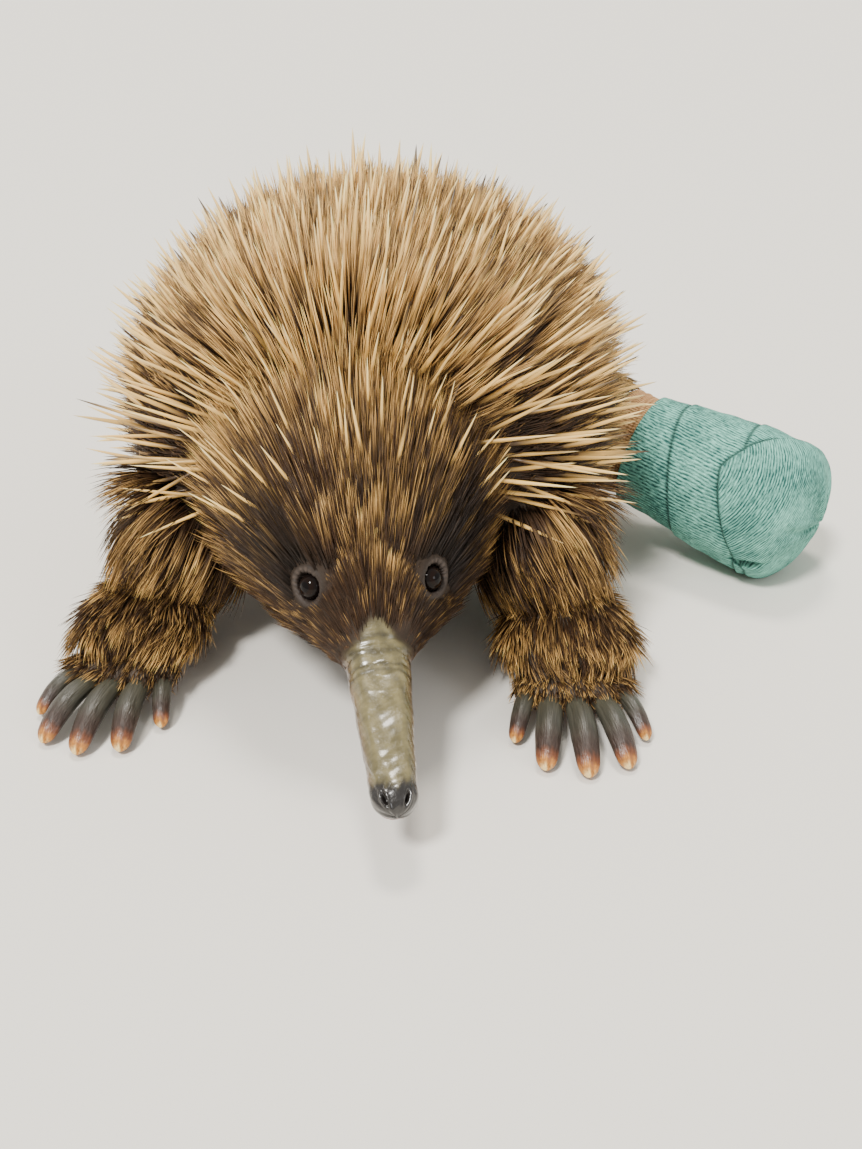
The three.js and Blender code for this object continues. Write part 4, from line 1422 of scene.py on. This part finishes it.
def by_leg(t, angle):
    """How near a place on the torso is to the bandaged leg, round which the coat lies short and flat."""
    return 1 - smoothstep(30, 72, np.linalg.norm(TORSO.surface(t, angle) - LEG_OUT, axis=-1))


def torso_length(t, angle):
    return np.interp(top_of(angle), [0, 1.6, 2.2, 3.2], [40, 38, 30, 15]) * (1 - 0.62 * by_leg(t, angle))


def on_shoulder(t, angle):
    """How near a place is to the sides of the front end, where the coat is swept back."""
    return smoothstep(-45, -82, t) * smoothstep(0.5, 1.2, top_of(angle))


def torso_lean(t, angle):
    lean = np.interp(top_of(angle), [0, 1.2, 2, 3.2], [53, 54, 60, 70])
    lean = lean + 5 * smoothstep(60, 130, t) + 22 * by_leg(t, angle) + 22 * on_shoulder(t, angle)
    return np.minimum(lean, 79)


def torso_sweep(t, angle):
    return 0.55 * on_shoulder(t, angle)


def foot_density(t, angle):
    return 1 - 0.93 * smoothstep(16, 33, t)


face_lean = by_distance([10, 30, 50, 64, 78, 92], [46, 52, 62, 71, 78, 80])
face_width = by_distance([10, 50, 75, 92], [0.58, 0.48, 0.34, 0.26])
torso_gold = by_turn([0, 1.3, 2, 3.2], [0.74, 0.44, 0.28, 0.18])
torso_density = by_turn([0, 1.9, 2.3, 3.2], [1, 1, 0.8, 0.45])
arm_length = by_distance([10, 35, 57], [28, 27, 24])
arm_lean = by_distance([10, 35, 57], [60, 68, 77])
hand_length = by_distance([-10, 15, 44], [13, 20, 15])
foot_length = by_distance([-12, 10, 34], [18, 13, 6])
thigh_left_length = by_distance([10, 50, 64], [18, 15, 8])


def fur_digits(paw_name):
    """Short fur over the digits of a hand."""
    for number, digit in enumerate(paw(*PAWS[paw_name]), 1):
        length = digit["flesh"]
        rings = [(length * part, 0, *[digit["radius"] * share] * 3) for part, share in DIGIT_SHARES]
        finger = Form("digit", digit["root"], digit["ahead"], rings, (2, 2))
        fur(
            f"fur_{paw_name}_{number}", finger, paw_name, 300, (1, length, 0, 180),
            constant(9), constant(76), constant(0.34), (1, 0), constant(0.4), pull=0.12, curl=0.1,
        )


fur(
    "fur_back", TORSO, "torso", 52000, (-94, 149, -90, 270), torso_length, torso_lean,
    constant(0.62), (1, 0.3), torso_gold, torso_density,
    pull=0.22, curl=0.12, tousle=0.75, sweep=torso_sweep,
)
fur(
    "fur_head", FACE, "face", 28000, (6, 94, -90, 270), face_length, face_lean, face_width, (-1, 0),
    face_gold, face_density, pull=0.16, curl=0.08, tousle=0.5, shadow=face_shadow,
)
fur(
    "fur_tail", TAIL, "tail", 1800, (3, 53, 0, 360), constant(20), constant(52), constant(0.7),
    (1, 0.1), constant(0.25),
)
for side_name, side in (("left", LEFT), ("right", RIGHT)):
    fur(
        f"fur_arm_{side_name}", ARMS[side], f"arm_{side_name}", 4000, (10, 56, 0, 360), arm_length, arm_lean,
        constant(0.56), (1, 0.15), constant(0.45), curl=0.5,
    )
    fur(
        f"fur_hand_{side_name}", HANDS[side], f"hand_{side_name}", 2900, (-10, 44, 0, 180), hand_length,
        constant(74), constant(0.42), (1, 0.1), constant(0.42), pull=0.2,
    )
fur_digits("fore_left")
fur_digits("fore_right")
fur(
    "fur_thigh_right", THIGH_RIGHT, "thigh_right", 2600, (8, 47, 0, 360), constant(25), constant(64),
    constant(0.56), (1, 0.15), constant(0.35),
)
fur(
    "fur_foot", FOOT, "foot", 2000, (-12, 34, 0, 180), foot_length, constant(74), constant(0.42),
    (1, 0.1), constant(0.3), foot_density,
)
fur(
    "fur_thigh_left", THIGH_LEFT, "thigh_left", 3000, (10, 64, 0, 360), thigh_left_length, constant(60),
    constant(0.6), (1, 0.1), constant(0.4),
)

# Spines, thin on the crown and thick on the back, with the longest fanned over the tail.


def back_spine_length(t, angle):
    return 44 * (1 - 0.6 * by_leg(t, angle))


def back_spine_lean(t, angle):
    return 48 + 24 * by_leg(t, angle) + 16 * on_shoulder(t, angle)


back_apart = by_distance([-94, -40, 40], [5.8, 6.6, 7.2])
back_width = by_distance([-94, -40, 40], [1.6, 2.1, 2.4])
crown_apart = by_distance([14, 46], [7.0, 6.2])
crown_spine_length = by_distance([14, 46], [44, 33])
BODY_COLOURS = (SPINE_BASE, SPINE_CREAM)
TAIL_COLOURS = (TAIL_YELLOW, TAIL_ORANGE)
TAIL_SIDES = 8

spines(
    "spines_back", TORSO, "torso", 16000, (-92, 149, -8, 188), back_apart, back_spine_length,
    back_spine_lean, back_width, (1, 0.25), 0.13, BODY_COLOURS, SPINE_PROFILE, SPINE_SIDES,
)
spines(
    "spines_crown", FACE, "face", 4000, (12, 47, 8, 172), crown_apart, crown_spine_length, constant(42),
    constant(1.4), (-1, 0), 0.1, BODY_COLOURS, SPINE_PROFILE, SPINE_SIDES,
)
spines(
    "spines_tail", TAIL, "tail", 1400, (4, 53, -30, 210), constant(6.4), constant(66), constant(54),
    constant(4.6), (1, 0), 0.22, TAIL_COLOURS, TAIL_PROFILE, TAIL_SIDES,
)

# Floor, light and camera.

STAGE_SIZE = 40
FLOOR_COLOUR = (0.80, 0.77, 0.71)
WORLD_COLOUR = (0.95, 0.93, 0.88, 1)
WORLD_STRENGTH = 0.85

floor_mesh = bpy.data.meshes.new("floor")
corner = STAGE_SIZE / 2
corners = [(-corner, -corner, 0), (corner, -corner, 0), (corner, corner, 0), (-corner, corner, 0)]
floor_mesh.from_pydata(corners, [], [(0, 1, 2, 3)])
floor = bpy.data.objects.new("floor", floor_mesh)
bpy.context.scene.collection.objects.link(floor)
floor_look = Look("floor")
floor_look.set("Base Color", FLOOR_COLOUR)
floor_look.set("Roughness", 0.8)
floor_mesh.materials.append(floor_look.material)

world = bpy.data.worlds.new("world")
world.use_nodes = True
background = world.node_tree.nodes["Background"]
background.inputs["Color"].default_value = WORLD_COLOUR
background.inputs["Strength"].default_value = WORLD_STRENGTH
bpy.context.scene.world = world

AIM = Vector((-0.006, -0.080, 0.030))


def far_light(name, direction, strength, spread, colour):
    """A soft light as from far away. spread is its width in degrees."""
    data = bpy.data.lights.new(name, "SUN")
    data.energy = strength
    data.angle = math.radians(spread)
    data.color = colour
    lamp = bpy.data.objects.new(name, data)
    lamp.rotation_euler = Vector(direction).to_track_quat("-Z", "Y").to_euler()
    bpy.context.scene.collection.objects.link(lamp)


far_light("key", (0.35, 0.55, -1.0), 4.2, 12, (1, 0.975, 0.93))
far_light("top", (0.06, -0.38, -0.92), 2.0, 13, (1, 0.95, 0.86))
far_light("fill", (-0.9, 0.6, -0.5), 0.6, 20, (0.93, 0.96, 1))

CAMERA_AZIMUTH = math.radians(4)
CAMERA_ELEVATION = math.radians(29)
CAMERA_DISTANCE = 0.475
CAMERA_VIEW = math.radians(42)  # across the picture
camera_data = bpy.data.cameras.new("camera")
camera_data.sensor_fit = "HORIZONTAL"
camera_data.angle = CAMERA_VIEW
camera = bpy.data.objects.new("camera", camera_data)
camera.location = AIM + CAMERA_DISTANCE * Vector((
    math.sin(CAMERA_AZIMUTH) * math.cos(CAMERA_ELEVATION),
    -math.cos(CAMERA_AZIMUTH) * math.cos(CAMERA_ELEVATION),
    math.sin(CAMERA_ELEVATION),
))
camera.rotation_euler = (AIM - camera.location).to_track_quat("-Z", "Y").to_euler()
bpy.context.scene.collection.objects.link(camera)
bpy.context.scene.camera = camera

bpy.context.view_layer.update()
